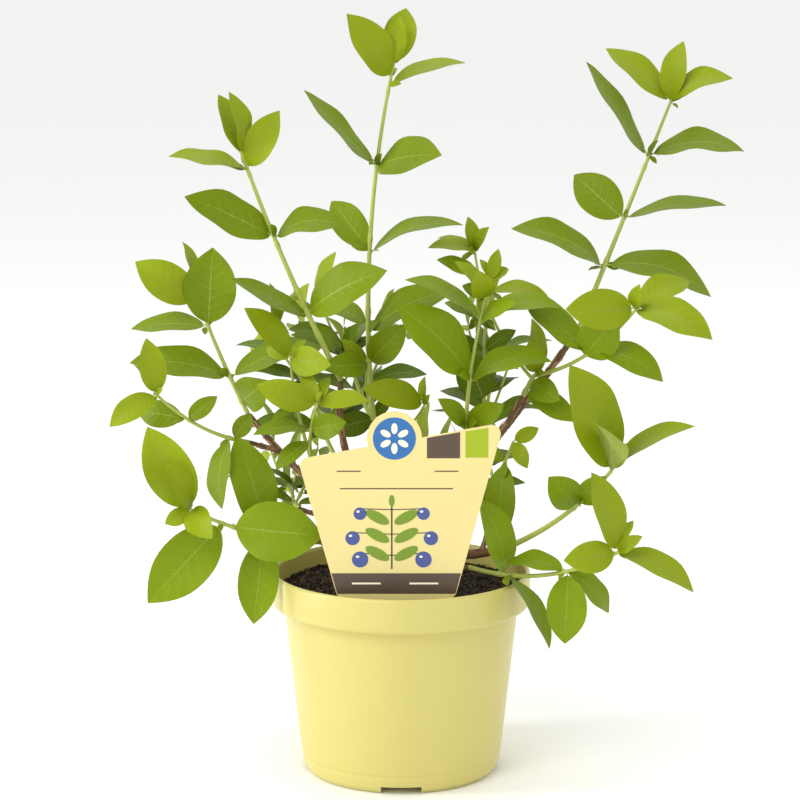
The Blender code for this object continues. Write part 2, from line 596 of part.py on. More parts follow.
def paired_leaves(run, pairs, longest, draw):
    """Opposite leaves up a shoot, the longest past its middle and two small at the tip."""
    along = unit(run)
    side = unit(np.cross(along, (0.0, 0.0, 1.0)))
    other = np.cross(along, side)
    leaves = []
    for number in range(pairs):
        share = 0.22 + 0.78 * number / max(pairs - 1, 1)
        turn = math.radians(90 * number + draw.uniform(-18, 18))
        length = longest * (0.62 + 0.55 * math.sin(math.pi * (0.15 + 0.62 * share)))
        for half in (0.0, math.pi):
            spread = math.cos(turn + half) * side + math.sin(turn + half) * other
            way = unit(spread + draw.uniform(0.35, 0.75) * along + np.array((0, 0, -0.12)))
            toward = math.degrees(math.asin(-way[1]))
            angle = math.degrees(math.atan2(way[2], way[0]))
            leaves.append((share, angle, length * draw.uniform(0.85, 1.1), toward,
                           draw.uniform(50, 85)))
    return tuple(leaves)


def add_masses(limbs, obstacles):
    """Each mass: its stem, side shoots and leaves, fused to one body."""
    skins = [material(f"foliage_{place}", colour, 0.5)
             for place, colour in enumerate(("7F9E16", "6E9406", "5A8406"))]
    names = list(MASSES) + list(BACK_MASSES)
    plans = {}
    for mass in names:
        bough = (MASSES.get(mass) or BACK_MASSES[mass])[0]
        (_, foot, _), tree = limbs[bough]
        plans[mass] = plan_shoots(main_shoots(mass), np.array(foot, float), tree)
    stems = [(mass, tree_of(solid)) for mass in names for solid, _, _ in plans[mass]]
    grown = []
    skipped = 0
    for number, mass in enumerate(names):
        solids = [solid for solid, _, _ in plans[mass]]
        others = obstacles + [tree for owner, tree in stems + grown if owner != mass]
        own = [tree for owner, tree in stems if owner == mass]
        for _, route, leaves in plans[mass]:
            for row in leaves:
                placed = place_leaf(route, row, others, own)
                if placed is None:
                    skipped += 1
                else:
                    solids.append(placed)
                    grown.append((mass, tree_of(placed)))
                    own.append(grown[-1][1])
        fuse(mass, solids, skins[number % len(skins)])
    print("leaves placed", len(grown), "skipped", skipped)


def plan_shoots(rows, foot, tree):
    """Solid, route and leaves of each shoot of a mass."""
    plans = []
    for tip, bow, foot_radius, tip_radius, carrier, share, leaves in rows:
        if carrier is None:
            route = (foot, np.array(tip, float), bow)
            start = clear_share(*route, foot_radius, tree)
        else:
            route = (curve(*plans[carrier][1], share)[0], np.array(tip, float), bow)
            start = 0.0
        shares = np.linspace(start, 1, TWIG_RINGS)
        radii = foot_radius + (tip_radius - foot_radius) * shares
        plans.append((tube(curve(*route, shares), radii, TWIG_SIDES), route, leaves))
    return plans


def place_leaf(route, row, others, own):
    """Leaf on its shoot, swung in depth until it is clear of every other piece.

    Its blade, but not its root, also stays clear of its own mass.
    """
    share, angle, length, toward, turn = row[:5]
    width, arch = (tuple(row[5:]) + (LEAF_WIDTH, LEAF_ARCH)[len(row) - 5:])[:2]
    node = curve(*route, min(share, 0.975))[0]
    for swing in SWINGS:
        along = heading(angle, toward + swing)
        face = leaf_face(along, turn)
        root = node + ROOT_SET * along
        whole = tree_of(leaf(root, along, face, length, width, arch, LEAF_SPARE))
        blade = tree_of(leaf(root, along, face, length, width, arch, 0.5 * LEAF_SPARE, LEAF_CLEAR_FROM))
        if not (any(whole.overlap(block) for block in others) or
                any(blade.overlap(block) for block in own)):
            return leaf(root, along, face, length, width, arch)
    return None


def fuse(name, solids, shade):
    """Union of a mass's shoots and leaves, keeping its one outer skin."""
    body = add_object(name, solids[0], shade)
    group = bpy.data.collections.new(name + "_parts")
    bpy.context.scene.collection.children.link(group)
    parts = []
    for place, solid in enumerate(solids[1:]):
        part = add_object(f"{name}_{place}", solid, shade)
        bpy.context.scene.collection.objects.unlink(part)
        group.objects.link(part)
        parts.append(part)
    union = body.modifiers.new("union", 'BOOLEAN')
    union.operation = 'UNION'
    union.operand_type = 'COLLECTION'
    union.collection = group
    union.solver = 'EXACT'
    ready = body.evaluated_get(bpy.context.evaluated_depsgraph_get())
    mesh = bpy.data.meshes.new_from_object(ready)
    body.modifiers.clear()
    body.data = mesh
    for part in parts:
        bpy.data.objects.remove(part)
    bpy.data.collections.remove(group)
    keep_outer_skin(mesh)
    body.data.shade_smooth()
    body.data.set_sharp_from_angle(angle=math.radians(30.0))


def keep_outer_skin(mesh):
    """Drop sealed hollows and loose scraps, leaving the body with the most faces."""
    shape = bmesh.new()
    shape.from_mesh(mesh)
    bmesh.ops.triangulate(shape, faces=shape.faces[:])
    left = set(shape.verts)
    shells = []
    while left:
        stack = [left.pop()]
        shell = set(stack)
        while stack:
            for edge in stack.pop().link_edges:
                for corner in edge.verts:
                    if corner in left:
                        left.remove(corner)
                        shell.add(corner)
                        stack.append(corner)
        shells.append(shell)
    shells.sort(key=len)
    scraps = [corner for shell in shells[:-1] for corner in shell]
    bmesh.ops.delete(shape, geom=scraps, context='VERTS')
    bmesh.ops.dissolve_limit(shape, angle_limit=FLAT_ANGLE, verts=shape.verts[:],
                             edges=shape.edges[:], delimit=set())
    bmesh.ops.triangulate(shape, faces=shape.faces[:])
    shape.to_mesh(mesh)
    shape.free()


def build():
    for thing in list(bpy.data.objects):
        bpy.data.objects.remove(thing)
    material("cutter", "808080", 0.5)
    add_pot()
    add_compost()
    add_label()
    limbs = add_limbs(material("bark", "7A5A45", 0.85))
    bpy.context.view_layer.update()
    obstacles = [tree for _, tree in limbs.values()]
    for name in ("pot", "compost", "plant_label"):
        mesh = bpy.data.objects[name].data
        corners = [tuple(corner.co / MM) for corner in mesh.vertices]
        obstacles.append(BVHTree.FromPolygons(corners, [tuple(face.vertices) for face in mesh.polygons]))
    add_masses(limbs, obstacles)


build()
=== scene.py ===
# %% [markdown]
# # A potted honeyberry
# A young honeyberry bush stands in a 13 cm nursery pot with a card label on a stake.
# The CAD solids say where everything is. Each one is replaced here by a finer mesh:
# turned plastic, loose compost, printed card, peeling bark, and leaves that grow by
# the rule the solids follow.

# %% Load the CAD frame
import math

import bpy
import numpy as np
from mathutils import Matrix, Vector
from mathutils.bvhtree import BVHTree


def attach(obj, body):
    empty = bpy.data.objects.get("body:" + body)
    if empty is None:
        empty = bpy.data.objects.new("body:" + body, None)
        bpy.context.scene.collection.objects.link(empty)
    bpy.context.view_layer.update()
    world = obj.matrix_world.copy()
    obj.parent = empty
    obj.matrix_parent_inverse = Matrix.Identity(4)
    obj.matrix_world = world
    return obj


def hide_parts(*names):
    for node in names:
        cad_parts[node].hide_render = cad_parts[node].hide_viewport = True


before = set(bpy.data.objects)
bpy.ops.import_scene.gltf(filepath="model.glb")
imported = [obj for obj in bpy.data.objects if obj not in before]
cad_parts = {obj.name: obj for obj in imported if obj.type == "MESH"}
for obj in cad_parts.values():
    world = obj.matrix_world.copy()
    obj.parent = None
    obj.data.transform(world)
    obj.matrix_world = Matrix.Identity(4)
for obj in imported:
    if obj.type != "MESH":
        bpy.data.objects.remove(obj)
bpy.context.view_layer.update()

MM = 0.001
GAP = 0.3
print("CAD nodes:", len(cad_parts))

# %% [markdown]
# ## Colours and finishes
# A real surface is rarely of one gloss: moulded plastic, bark and leaves all have a
# fine grain. It could be painted on, but noise that is sized in metres fits any mesh
# without an unwrap, so every finish here is one plain base colour whose roughness and
# relief follow noise.

# %% Colours, shader nodes and finishes
# How far roughness goes to either side of its mean, and how strong the relief is
ROUGH_SPREAD = 0.07
RELIEF_STRENGTH = 0.7


def linear(colour):
    """Linear channels of an sRGB hex colour."""
    channels = np.array([int(colour[place:place + 2], 16) for place in (0, 2, 4)]) / 255
    curved = ((channels + 0.055) / 1.055) ** 2.4
    return (*np.where(channels > 0.04045, curved, channels / 12.92).tolist(), 1.0)


def node(tree, kind, inputs, **settings):
    """One shader node, whose inputs are constants or sockets of other nodes."""
    made = tree.nodes.new(kind)
    for name, value in settings.items():
        setattr(made, name, value)
    for name, value in inputs.items():
        if isinstance(value, bpy.types.NodeSocket):
            tree.links.new(value, made.inputs[name])
        else:
            made.inputs[name].default_value = value
    return made


def maths(tree, operation, *inputs):
    """Output of a maths node, whose inputs are constants or sockets."""
    return node(tree, "ShaderNodeMath", dict(enumerate(inputs)), operation=operation).outputs[0]


def finish(name, colour, roughness, grain, height, stretch=(1.0, 1.0, 1.0)):
    """Dielectric of one base colour; its grain's size and height are in metres."""
    shade = bpy.data.materials.new(name)
    shade.use_nodes = True
    tree = shade.node_tree
    surface = tree.nodes["Principled BSDF"]
    surface.inputs["Base Color"].default_value = linear(colour)
    place = node(tree, "ShaderNodeTexCoord", {})
    sized = node(tree, "ShaderNodeMapping", {"Vector": place.outputs["Object"], "Scale": stretch})
    noise = node(tree, "ShaderNodeTexNoise", {
        "Vector": sized.outputs["Vector"], "Scale": 1 / grain, "Detail": 4.0})
    rough = node(tree, "ShaderNodeMapRange", {
        "Value": noise.outputs[0], "To Min": roughness - ROUGH_SPREAD,
        "To Max": roughness + ROUGH_SPREAD})
    relief = node(tree, "ShaderNodeBump", {
        "Height": noise.outputs[0], "Strength": RELIEF_STRENGTH, "Distance": height})
    tree.links.new(rough.outputs["Result"], surface.inputs["Roughness"])
    tree.links.new(relief.outputs["Normal"], surface.inputs["Normal"])
    shade.diffuse_color = linear(colour)
    return shade


print("sRGB CCC16F is linear", [round(value, 3) for value in linear("CCC16F")])

# %% [markdown]
# ## From arrays to pieces
# Each piece is a mesh object that rides on the CAD body and stands in for CAD nodes.
# Corners are kept as whole arrays in millimetres and turned to metres once, here.

# %% Make a piece from corners and faces
# Crease angle of a piece that is shaded smooth all over
SMOOTH = 180.0


def mesh_of(name, solid):
    """Mesh in metres, from corners in millimetres and faces."""
    mesh = bpy.data.meshes.new(name)
    mesh.from_pydata((np.asarray(solid[0]) * MM).tolist(), [], [list(face) for face in solid[1]])
    return mesh


def corners_of(mesh):
    """Corners of a mesh as an array, in millimetres."""
    corners = np.empty(3 * len(mesh.vertices))
    mesh.vertices.foreach_get("co", corners)
    return corners.reshape(-1, 3) / MM


def linked(name, data):
    """New object in the scene for a mesh, lamp or camera."""
    thing = bpy.data.objects.new(name, data)
    bpy.context.scene.collection.objects.link(thing)
    return thing


def add_piece(name, solid, shade, nodes, crease=35.0, uv=None):
    """Mesh from corners in millimetres, riding the root body in place of its nodes."""
    mesh = mesh_of(name, solid)
    mesh.update()
    mesh.shade_smooth()
    mesh.set_sharp_from_angle(angle=math.radians(crease))
    mesh.materials.append(shade)
    if uv is not None:
        order = np.empty(len(mesh.loops), np.int32)
        mesh.loops.foreach_get("vertex_index", order)
        layer = mesh.uv_layers.new(name="blade")
        layer.data.foreach_set("uv", uv[order].astype(np.float32).ravel())
    piece = linked(name, mesh)
    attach(piece, "root")
    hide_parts(*nodes)
    print(name, "has", len(mesh.polygons), "faces")


def joined(solids):
    """One set of corners and faces from several."""
    faces = []
    start = 0
    for corners, part in solids:
        faces += [[int(corner) + start for corner in face] for face in part]
        start += len(corners)
    return np.vstack([corners for corners, _ in solids]), faces


def grid_faces(rows, columns, closed=False):
    """Quads between the neighbours in a grid of corners, going round where closed."""
    row, column = np.mgrid[0:rows - 1, 0:columns if closed else columns - 1]
    near = row * columns + column
    after = row * columns + (column + 1) % columns
    return np.stack([near, after, after + columns, near + columns], -1).reshape(-1, 4)


def copies(template, faces, count):
    """Faces of a number of equal meshes whose corners follow one another."""
    return (faces[None] + np.arange(count)[:, None, None] * template).reshape(-1, faces.shape[1])


def ripple(points, size, seed):
    """Smooth noise of about -1 to 1: the mean of sines in ten seeded directions."""
    draw = np.random.default_rng(seed)
    ways = draw.normal(size=(10, 3))
    ways /= np.linalg.norm(ways, axis=1)[:, None]
    waves = points @ (ways * (draw.uniform(0.6, 1.8, 10) / size)[:, None]).T
    return 2.2 * np.sin(2 * np.pi * waves + draw.uniform(0, 2 * np.pi, 10)).mean(-1)


print("noise at the origin is", round(float(ripple(np.zeros(3), 1.0, 1)), 3))

# %% [markdown]
# ## The pot
# A nursery pot is injection moulded: a thin tapered wall, a wider band under the rim
# that lets pots nest, and a foot ring with notches so that water runs off. A screw or
# subdivision modifier could make it, but turning one eased profile gives the same
# round body with every radius in plain sight.

# %% Sizes of the pot
# Pot: a 13 cm round nursery pot with a stepped rim band and a notched foot ring
RIM_RADIUS = 65.0
POT_HEIGHT = 103.0
BAND_HEIGHT = 17.5
BAND_WALL = 2.4
WALL = 1.5
NECK_RADIUS = 58.9
HEEL_RADIUS = 50.2
HEEL_HEIGHT = 8.0
FOOT_RADIUS = 46.6
FOOT_RING = 3.2
FLOOR_RISE = 4.0
PAD_RADIUS = 12.0
POT_SIDES = 144
EDGE_FILLET = 0.9
NOTCHES = 4
NOTCH_WIDTH = 20.0
NOTCH_LONG = 14.0
DRAIN_RADIUS = 4.5
DRAIN_CIRCLE = 33.0
print("pot", 2 * RIM_RADIUS, "mm across and", POT_HEIGHT, "mm tall")

# %% Turn a profile and cut it
def turned(profile, sides):
    """Closed body turned round Z from a profile that starts and ends on the axis."""
    profile = np.asarray(profile, float)
    inner = profile[1:-1]
    turn = 2 * np.pi * np.arange(sides) / sides
    round_part = np.stack([inner[:, None, 0] * np.cos(turn), inner[:, None, 0] * np.sin(turn),
                           np.repeat(inner[:, 1:2], sides, axis=1)], -1).reshape(-1, 3)
    first, last = len(round_part), len(round_part) + 1
    corners = np.vstack([round_part, (0, 0, profile[0, 1]), (0, 0, profile[-1, 1])])
    faces = []
    for side in range(sides):
        after = (side + 1) % sides
        faces.append((first, after, side))
        for row in range(len(inner) - 1):
            a, b = row * sides + side, row * sides + after
            faces += [(a, b, b + sides), (a, b + sides, a + sides)]
        top = (len(inner) - 1) * sides
        faces.append((last, top + side, top + after))
    return corners, faces


def box(centre, size, turn=0.0):
    """Block with its middle at centre, turned about Z."""
    signs = np.array([(x, y, z) for z in (-1, 1) for y in (-1, 1) for x in (-1, 1)], float)
    corners = signs * np.asarray(size, float) / 2
    turn = math.radians(turn)
    spin = np.array(((math.cos(turn), math.sin(turn), 0),
                     (-math.sin(turn), math.cos(turn), 0), (0, 0, 1)))
    corners = (corners + np.asarray(centre, float)) @ spin
    faces = [(0, 2, 3, 1), (4, 5, 7, 6), (0, 1, 5, 4), (2, 6, 7, 3), (0, 4, 6, 2), (1, 3, 7, 5)]
    return corners, faces


def inner_wall(height):
    """Inner radius of the pot's wall below the rim band."""
    slope = (NECK_RADIUS - HEEL_RADIUS) / (POT_HEIGHT - BAND_HEIGHT - HEEL_HEIGHT)
    return HEEL_RADIUS - WALL + slope * (height - HEEL_HEIGHT)


def rounded(points, fillet, steps):
    """Profile whose corners are eased by parabolas that start a fillet from them."""
    points = np.asarray(points, float)
    share = np.linspace(0, 1, steps)[:, None]
    eased = [points[:1]]
    for before, corner, after in zip(points, points[1:], points[2:]):
        start = corner + (before - corner) * min(0.45, fillet / np.linalg.norm(before - corner))
        end = corner + (after - corner) * min(0.45, fillet / np.linalg.norm(after - corner))
        eased.append((1 - share) ** 2 * start + 2 * share * (1 - share) * corner + share ** 2 * end)
    return np.vstack(eased + [points[-1:]])


def loose(name, solid):
    """Object outside the model, for a boolean."""
    return linked(name, mesh_of(name, solid))


def carved(solid, tools):
    """The solid less its tools, as corners and faces."""
    body = loose("blank", solid)
    cutters = [loose(f"cutter_{place}", tool) for place, tool in enumerate(tools)]
    for cutter in cutters:
        boolean = body.modifiers.new(cutter.name, 'BOOLEAN')
        boolean.operation = 'DIFFERENCE'
        boolean.solver = 'EXACT'
        boolean.object = cutter
    ready = body.evaluated_get(bpy.context.evaluated_depsgraph_get())
    mesh = bpy.data.meshes.new_from_object(ready)
    faces = [list(face.vertices) for face in mesh.polygons]
    for thing in [body] + cutters:
        bpy.data.objects.remove(thing)
    return corners_of(mesh), faces


print("inside radius at half height is", round(inner_wall(POT_HEIGHT / 2), 1), "mm")

# %% The pot's profile, notches and drain holes
def ring_vectors(points, sides):
    """Unit vectors round a path: a ring of them, square to it, at each point."""
    tangents = np.gradient(points, axis=0)
    tangents /= np.linalg.norm(tangents, axis=1)[:, None]
    reference = np.eye(3)[np.argmin(np.abs(tangents.mean(0)))]
    across = np.cross(tangents, reference)
    across /= np.linalg.norm(across, axis=1)[:, None]
    upward = np.cross(tangents, across)
    turn = (2 * np.pi * np.arange(sides) / sides)[None, :, None]
    return np.cos(turn) * across[:, None] + np.sin(turn) * upward[:, None]


def skin(points, radii, sides):
    """Open tube round a path, with a radius for each ring."""
    around = ring_vectors(points, sides)
    corners = points[:, None] + np.asarray(radii)[:, None, None] * around
    return corners.reshape(-1, 3), grid_faces(len(points), sides, closed=True)


def tube(points, radii, sides):
    """Closed tube round a path: its skin in triangles, with a flat face at both ends."""
    corners, quads = skin(points, radii, sides)
    faces = quads[:, [[0, 1, 2], [0, 2, 3]]].reshape(-1, 3).tolist()
    last = (len(points) - 1) * sides
    for side in range(1, sides - 1):
        faces += [(0, side + 1, side), (last, last + side, last + side + 1)]
    return corners, faces


step = POT_HEIGHT - BAND_HEIGHT
floor = FLOOR_RISE + WALL
mouth = RIM_RADIUS - BAND_WALL
profile = (
    (0, 0), (PAD_RADIUS, 0), (PAD_RADIUS + 1, FLOOR_RISE),
    (FOOT_RADIUS - FOOT_RING - 0.5, FLOOR_RISE), (FOOT_RADIUS - FOOT_RING, 0), (FOOT_RADIUS, 0),
    (HEEL_RADIUS - 0.9, HEEL_HEIGHT * 0.35), (HEEL_RADIUS, HEEL_HEIGHT - 0.5),
    (HEEL_RADIUS + 0.05, HEEL_HEIGHT + 1.5), (HEEL_RADIUS + 0.45, HEEL_HEIGHT + 2.0),
    (NECK_RADIUS, step - 1), (NECK_RADIUS + 1, step),
    (RIM_RADIUS - 1.2, step), (RIM_RADIUS, step + 1.6),
    (RIM_RADIUS, POT_HEIGHT - 1.2), (RIM_RADIUS - 0.9, POT_HEIGHT),
    (mouth + 0.8, POT_HEIGHT), (mouth, POT_HEIGHT - 1.2),
    (mouth - 0.2, step + WALL + 1), (inner_wall(step) + 0.8, step + WALL),
    (inner_wall(step), step - 1), (inner_wall(HEEL_HEIGHT + 2), HEEL_HEIGHT + 2),
    (FOOT_RADIUS - 1, floor), (0, floor))
tools = []
for number in range(NOTCHES):
    turn = 360 * number / NOTCHES
    tools.append(box((0, -FOOT_RADIUS, FLOOR_RISE / 2 - 1),
                     (NOTCH_WIDTH, NOTCH_LONG, FLOOR_RISE + 2), turn))
    reach = math.radians(turn + 45)
    middle = np.array((DRAIN_CIRCLE * math.cos(reach), DRAIN_CIRCLE * math.sin(reach), 0))
    tools.append(tube(middle + np.array(((0, 0, 1.0), (0, 0, 9.0))), (DRAIN_RADIUS,) * 2, 32))
shell = carved(turned(rounded(profile, EDGE_FILLET, 4), POT_SIDES), tools)
plastic = finish("injection_moulded_polypropylene", "CCC16F", 0.31, 0.003, 0.0001, (1.0, 1.0, 0.04))
add_piece("pot_shell", shell, plastic, ["pot"], crease=28.0)

# %% [markdown]
# ## The compost
# Potting compost is peat crumbs and brown fibres, heaped a little towards the stem.
# Displacing one disc would look like wet mud, so the body only carries the heap and
# loose crumbs and fibres lie on it. They are thousands, so each has few faces.

# %% The body of the compost
# Compost: its height at the rim and at the stem, the flat round the stem, its sides
COMPOST_EDGE = 93.5
COMPOST_TOP = 97.0
COLLAR_RADIUS = 11.0
COMPOST_SIDES = 110


def heap(points):
    """Height of the compost at points, as a low mound with lumps of 11 and 4 mm."""
    radius = np.hypot(points[..., 0], points[..., 1])
    share = np.clip((mouth - radius) / (mouth - COLLAR_RADIUS), 0, 1)
    flat = points * (1, 1, 0)
    return (COMPOST_EDGE + share * (COMPOST_TOP - COMPOST_EDGE) +
            0.7 * ripple(flat, 11.0, 5) + 0.35 * ripple(flat, 4.0, 6) - 0.5)


edge = mouth - 0.4
side = [(0, floor + GAP), (FOOT_RADIUS - 1.6, floor + GAP),
        (inner_wall(HEEL_HEIGHT + 2) - 0.45, HEEL_HEIGHT + 2),
        (inner_wall(step) - 0.45, step - 0.5), (inner_wall(step), step + WALL + 0.45),
        (edge, step + WALL + 1.8), (edge, COMPOST_EDGE - 3)]
top = [(radius, COMPOST_EDGE) for radius in np.linspace(edge, 1.0, 42)]
corners, faces = turned(side + top + [(0, COMPOST_EDGE)], COMPOST_SIDES)
raised = corners[:, 2] > COMPOST_EDGE - 0.1
corners[:, 2] = np.where(raised, heap(corners), corners[:, 2])
peat = finish("moist_peat_compost", "241D14", 0.95, 0.0015, 0.0004)
add_piece("compost_body", (corners, faces), peat, ["compost"], SMOOTH)

# %% Crumbs and fibres
draw = np.random.default_rng(21)


def scatter(count, reach):
    """Points spread evenly over the compost, out to a radius."""
    radius = reach * np.sqrt(draw.uniform(0, 1, count))
    angle = draw.uniform(0, 2 * np.pi, count)
    points = np.column_stack([radius * np.cos(angle), radius * np.sin(angle), np.zeros(count)])
    points[:, 2] = heap(points)
    return points


def ball(rows, columns):
    """Corners and quads of a round grain of radius 1."""
    tilt = np.linspace(0.12, math.pi - 0.12, rows)[:, None]
    turn = (2 * np.pi * np.arange(columns) / columns)[None]
    corners = np.stack([np.sin(tilt) * np.cos(turn), np.sin(tilt) * np.sin(turn),
                        np.repeat(np.cos(tilt), columns, 1)], -1).reshape(-1, 3)
    return corners, grid_faces(rows, columns, closed=True)[:, ::-1]


grain, grain_faces = ball(4, 6)
for name, colour, count in (("dark", "251D15", 2600), ("brown", "54402C", 900)):
    size = draw.uniform(0.35, 1.15, (count, 1, 1)) * draw.uniform(0.6, 1.2, (count, 1, 3))
    lumps = grain[None] * size * draw.uniform(0.75, 1.2, (count, len(grain), 1))
    places = scatter(count, edge - 1.6)
    corners = (places[:, None] + lumps + (0, 0, 0.2)).reshape(-1, 3)
    crumb = finish(f"{name}_peat_crumb", colour, 0.92, 0.0008, 0.0002)
    add_piece(f"compost_crumbs_{name}", (corners, copies(len(grain), grain_faces, count)), crumb,
              ["compost"], SMOOTH)

FIBRES = 170
fibres = []
for place in scatter(FIBRES, edge - 9):
    turn = draw.uniform(0, 2 * np.pi)
    run = np.linspace(-0.5, 0.5, 7)[:, None] * draw.uniform(4, 13)
    bend = draw.uniform(-0.12, 0.12) * run ** 2
    flat = np.array((math.cos(turn), math.sin(turn), 0)) * run
    flat = flat + np.array((-math.sin(turn), math.cos(turn), 0)) * bend
    path = place * (1, 1, 0) + flat
    path[:, 2] = heap(path) + 0.5
    fibres.append(skin(path, np.full(7, draw.uniform(0.12, 0.26)), 4))
fibre = finish("coir_fibre", "7A5A3A", 0.85, 0.001, 0.0001)
add_piece("compost_fibres", joined(fibres), fibre, ["compost"], SMOOTH)

# %% [markdown]
# ## The plant label
# The label is a die-cut card of printed plastic that stands on its own stake. Flat
# areas of ink could be a picture on the card, but thin raised plates in plain colours
# keep their sharp edges at any size. The design is a plain one: a sprig with berries
# and paired leaves, a rosette, tabs and rules.

# %% Sizes of the label and its outline
# Label: a card that stands on its own stake just inside the front of the rim
CARD_Y = -48.0
CARD_THICK = 0.9
CARD_FOOT = 102.0
CARD_FOOT_LEFT = -31.5
CARD_FOOT_RIGHT = 26.7
CARD_LEFT = (-48.9, 165.5)
CARD_RIGHT = (48.0, 181.5)
CARD_CORNER = 4.5
CORNER_STEPS = 14
CARD_TOP_SLOPE = 0.176
BADGE_X = -3.3
BADGE_Z = 179.3
BADGE_RADIUS = 13.3
STAKE_TOP = 84.0
STAKE_LEFT = -12.0
STAKE_RIGHT = 9.0
STAKE_TIP = (-1.5, 38.0)
INK = 0.05


def arc(x, z, radius, start, end, steps):
    """Points of an arc between two angles in degrees."""
    return [(x + radius * math.cos(turn), z + radius * math.sin(turn))
            for turn in np.radians(np.linspace(start, end, steps))]


def label_outline():
    """Outline of stake, card and badge as (x, z) points, anticlockwise from the front."""
    (left, left_z), (right, right_z) = CARD_LEFT, CARD_RIGHT
    lean = math.degrees(math.atan(CARD_TOP_SLOPE))
    outline = [(STAKE_RIGHT, STAKE_TOP), STAKE_TIP, (STAKE_LEFT, STAKE_TOP),
               (CARD_FOOT_LEFT, CARD_FOOT)]
    outline += arc(left + CARD_CORNER, left_z, CARD_CORNER, 195, 100, CORNER_STEPS)
    outline += arc(BADGE_X, BADGE_Z, BADGE_RADIUS, 180 + lean + 8, lean - 8, 40)
    outline += arc(right - CARD_CORNER, right_z, CARD_CORNER, 100, -20, CORNER_STEPS)
    return (outline + [(CARD_FOOT_RIGHT, CARD_FOOT)])[::-1]


def slab(outline, front, back):
    """Plate with an outline of (x, z) points, between two depths."""
    outline = np.asarray(outline, float)
    count = len(outline)
    corners = np.vstack([np.column_stack([outline[:, 0], np.full(count, depth), outline[:, 1]])
                         for depth in (front, back)])
    near = np.arange(count)
    after = (near + 1) % count
    faces = [near.tolist(), (near[::-1] + count).tolist()]
    faces += np.column_stack([after, near, near + count, after + count]).tolist()
    return corners, faces


card = slab(label_outline(), CARD_Y - CARD_THICK / 2, CARD_Y + CARD_THICK / 2)
stock = finish("printed_polystyrene_card", "E3D38C", 0.42, 0.003, 0.00002)
add_piece("label_card", card, stock, ["plant_label"])

# %% The print on the card
def oval(x, z, long, wide, lean=0.0, count=28):
    """Outline of an ellipse whose long axis leans by an angle in degrees."""
    turn = np.linspace(0, 2 * np.pi, count, endpoint=False)
    along, over = long * np.cos(turn), wide * np.sin(turn)
    lean = math.radians(lean)
    return np.column_stack([x + along * math.cos(lean) - over * math.sin(lean),
                            z + along * math.sin(lean) + over * math.cos(lean)])


def stroke(x, z, far_x, far_z, wide):
    """Outline of a straight line of ink."""
    start, end = np.array((x, z), float), np.array((far_x, far_z), float)
    way = (end - start) / np.linalg.norm(end - start)
    half = np.array((-way[1], way[0])) * wide / 2
    return np.array([start - half, end - half, end + half, start + half])


SPRIG_X = -4.6
PETALS = 6
prints = [
    ("brown", 1, [(-31.2, 102.2), (26.4, 102.2), (29.1, 112.5), (-34.0, 112.5)]),
    ("brown", 1, [(12.4, 169.6), (28.4, 169.6), (28.4, 182.5), (12.4, 179.6)]),
    ("green", 1, [(31.0, 169.9), (42.0, 169.9), (42.0, 184.6), (31.0, 182.8)]),
    ("blue", 1, oval(BADGE_X, BADGE_Z, 10.4, 10.4, 0.0, 48)),
    ("brown", 1, stroke(-31.2, 163.2, -19.6, 163.2, 0.6)),
    ("brown", 1, stroke(16.2, 163.2, 27.6, 163.2, 0.6)),
    ("brown", 1, stroke(-29.8, 154.6, 25.0, 154.6, 0.6)),
    ("pale", 2, stroke(-24.0, 107.4, -10.0, 107.4, 0.9)),
    ("pale", 2, stroke(4.0, 107.4, 18.0, 107.4, 0.9)),
    ("brown", 1, stroke(SPRIG_X, 114.6, SPRIG_X, 149.0, 0.8)),
    ("leaf", 2, oval(SPRIG_X, 148.6, 2.9, 1.4, 90.0)),
]
for number in range(PETALS):
    lean = 60 * number + 30
    middle = arc(BADGE_X, BADGE_Z, 4.9, lean, lean, 1)[0]
    prints.append(("pale", 2, oval(*middle, 2.7, 1.5, lean)))
for hand in (-1, 1):
    for height in (119.0, 128.0, 137.0):
        middle = (SPRIG_X + 7.0 * hand, height + 3.4)
        prints.append(("leaf", 2, oval(*middle, 6.4, 2.6, 90 - 62 * hand)))
    for reach, height, radius in ((15.4, 119.4, 4.0), (19.0, 130.0, 3.5), (15.4, 142.2, 3.1)):
        berry = SPRIG_X + reach * hand
        prints.append(("brown", 1, stroke(SPRIG_X, height + 2, berry, height + 0.8 * radius, 0.5)))
        prints.append(("berry", 2, oval(berry, height, radius, radius)))
        prints.append(("pale", 3, oval(berry - 0.3 * radius, height + 0.35 * radius, 0.8, 0.6)))
INKS = {"brown": "544336", "green": "9EB008", "blue": "2A6AAA", "pale": "F6F2D2",
        "leaf": "728F1A", "berry": "425190"}
for ink, colour in INKS.items():
    face = CARD_Y - CARD_THICK / 2
    plates = [slab(outline, face - INK * layer, face + INK)
              for name, layer, outline in prints if name == ink]
    gloss = finish(f"{ink}_offset_ink", colour, 0.4, 0.003, 0.00001)
    add_piece(f"label_print_{ink}", joined(plates), gloss, ["plant_label"])

# %% [markdown]
# ## The wood
# A honeyberry's trunk and older boughs have grey-brown bark that splits along the
# grain and peels in thin strips. A flat tube with a texture would look smooth in
# outline, so the relief is in the mesh: noise stretched along the limb cuts furrows,
# and small curled strips stand off it.

# %% The limbs, as the CAD has them
# Trunk: a short stump with a root flare, hidden behind the label
TRUNK_FOOT = (9.0, 5.0, COMPOST_TOP + GAP)
TRUNK_TIP = (6.0, 6.0, 123.0)
TRUNK_BOW = (1.5, 0.0, 0.0)
TRUNK_RADIUS = 5.6
TRUNK_TIP_RADIUS = 4.2
TRUNK_FLARE = 3.2

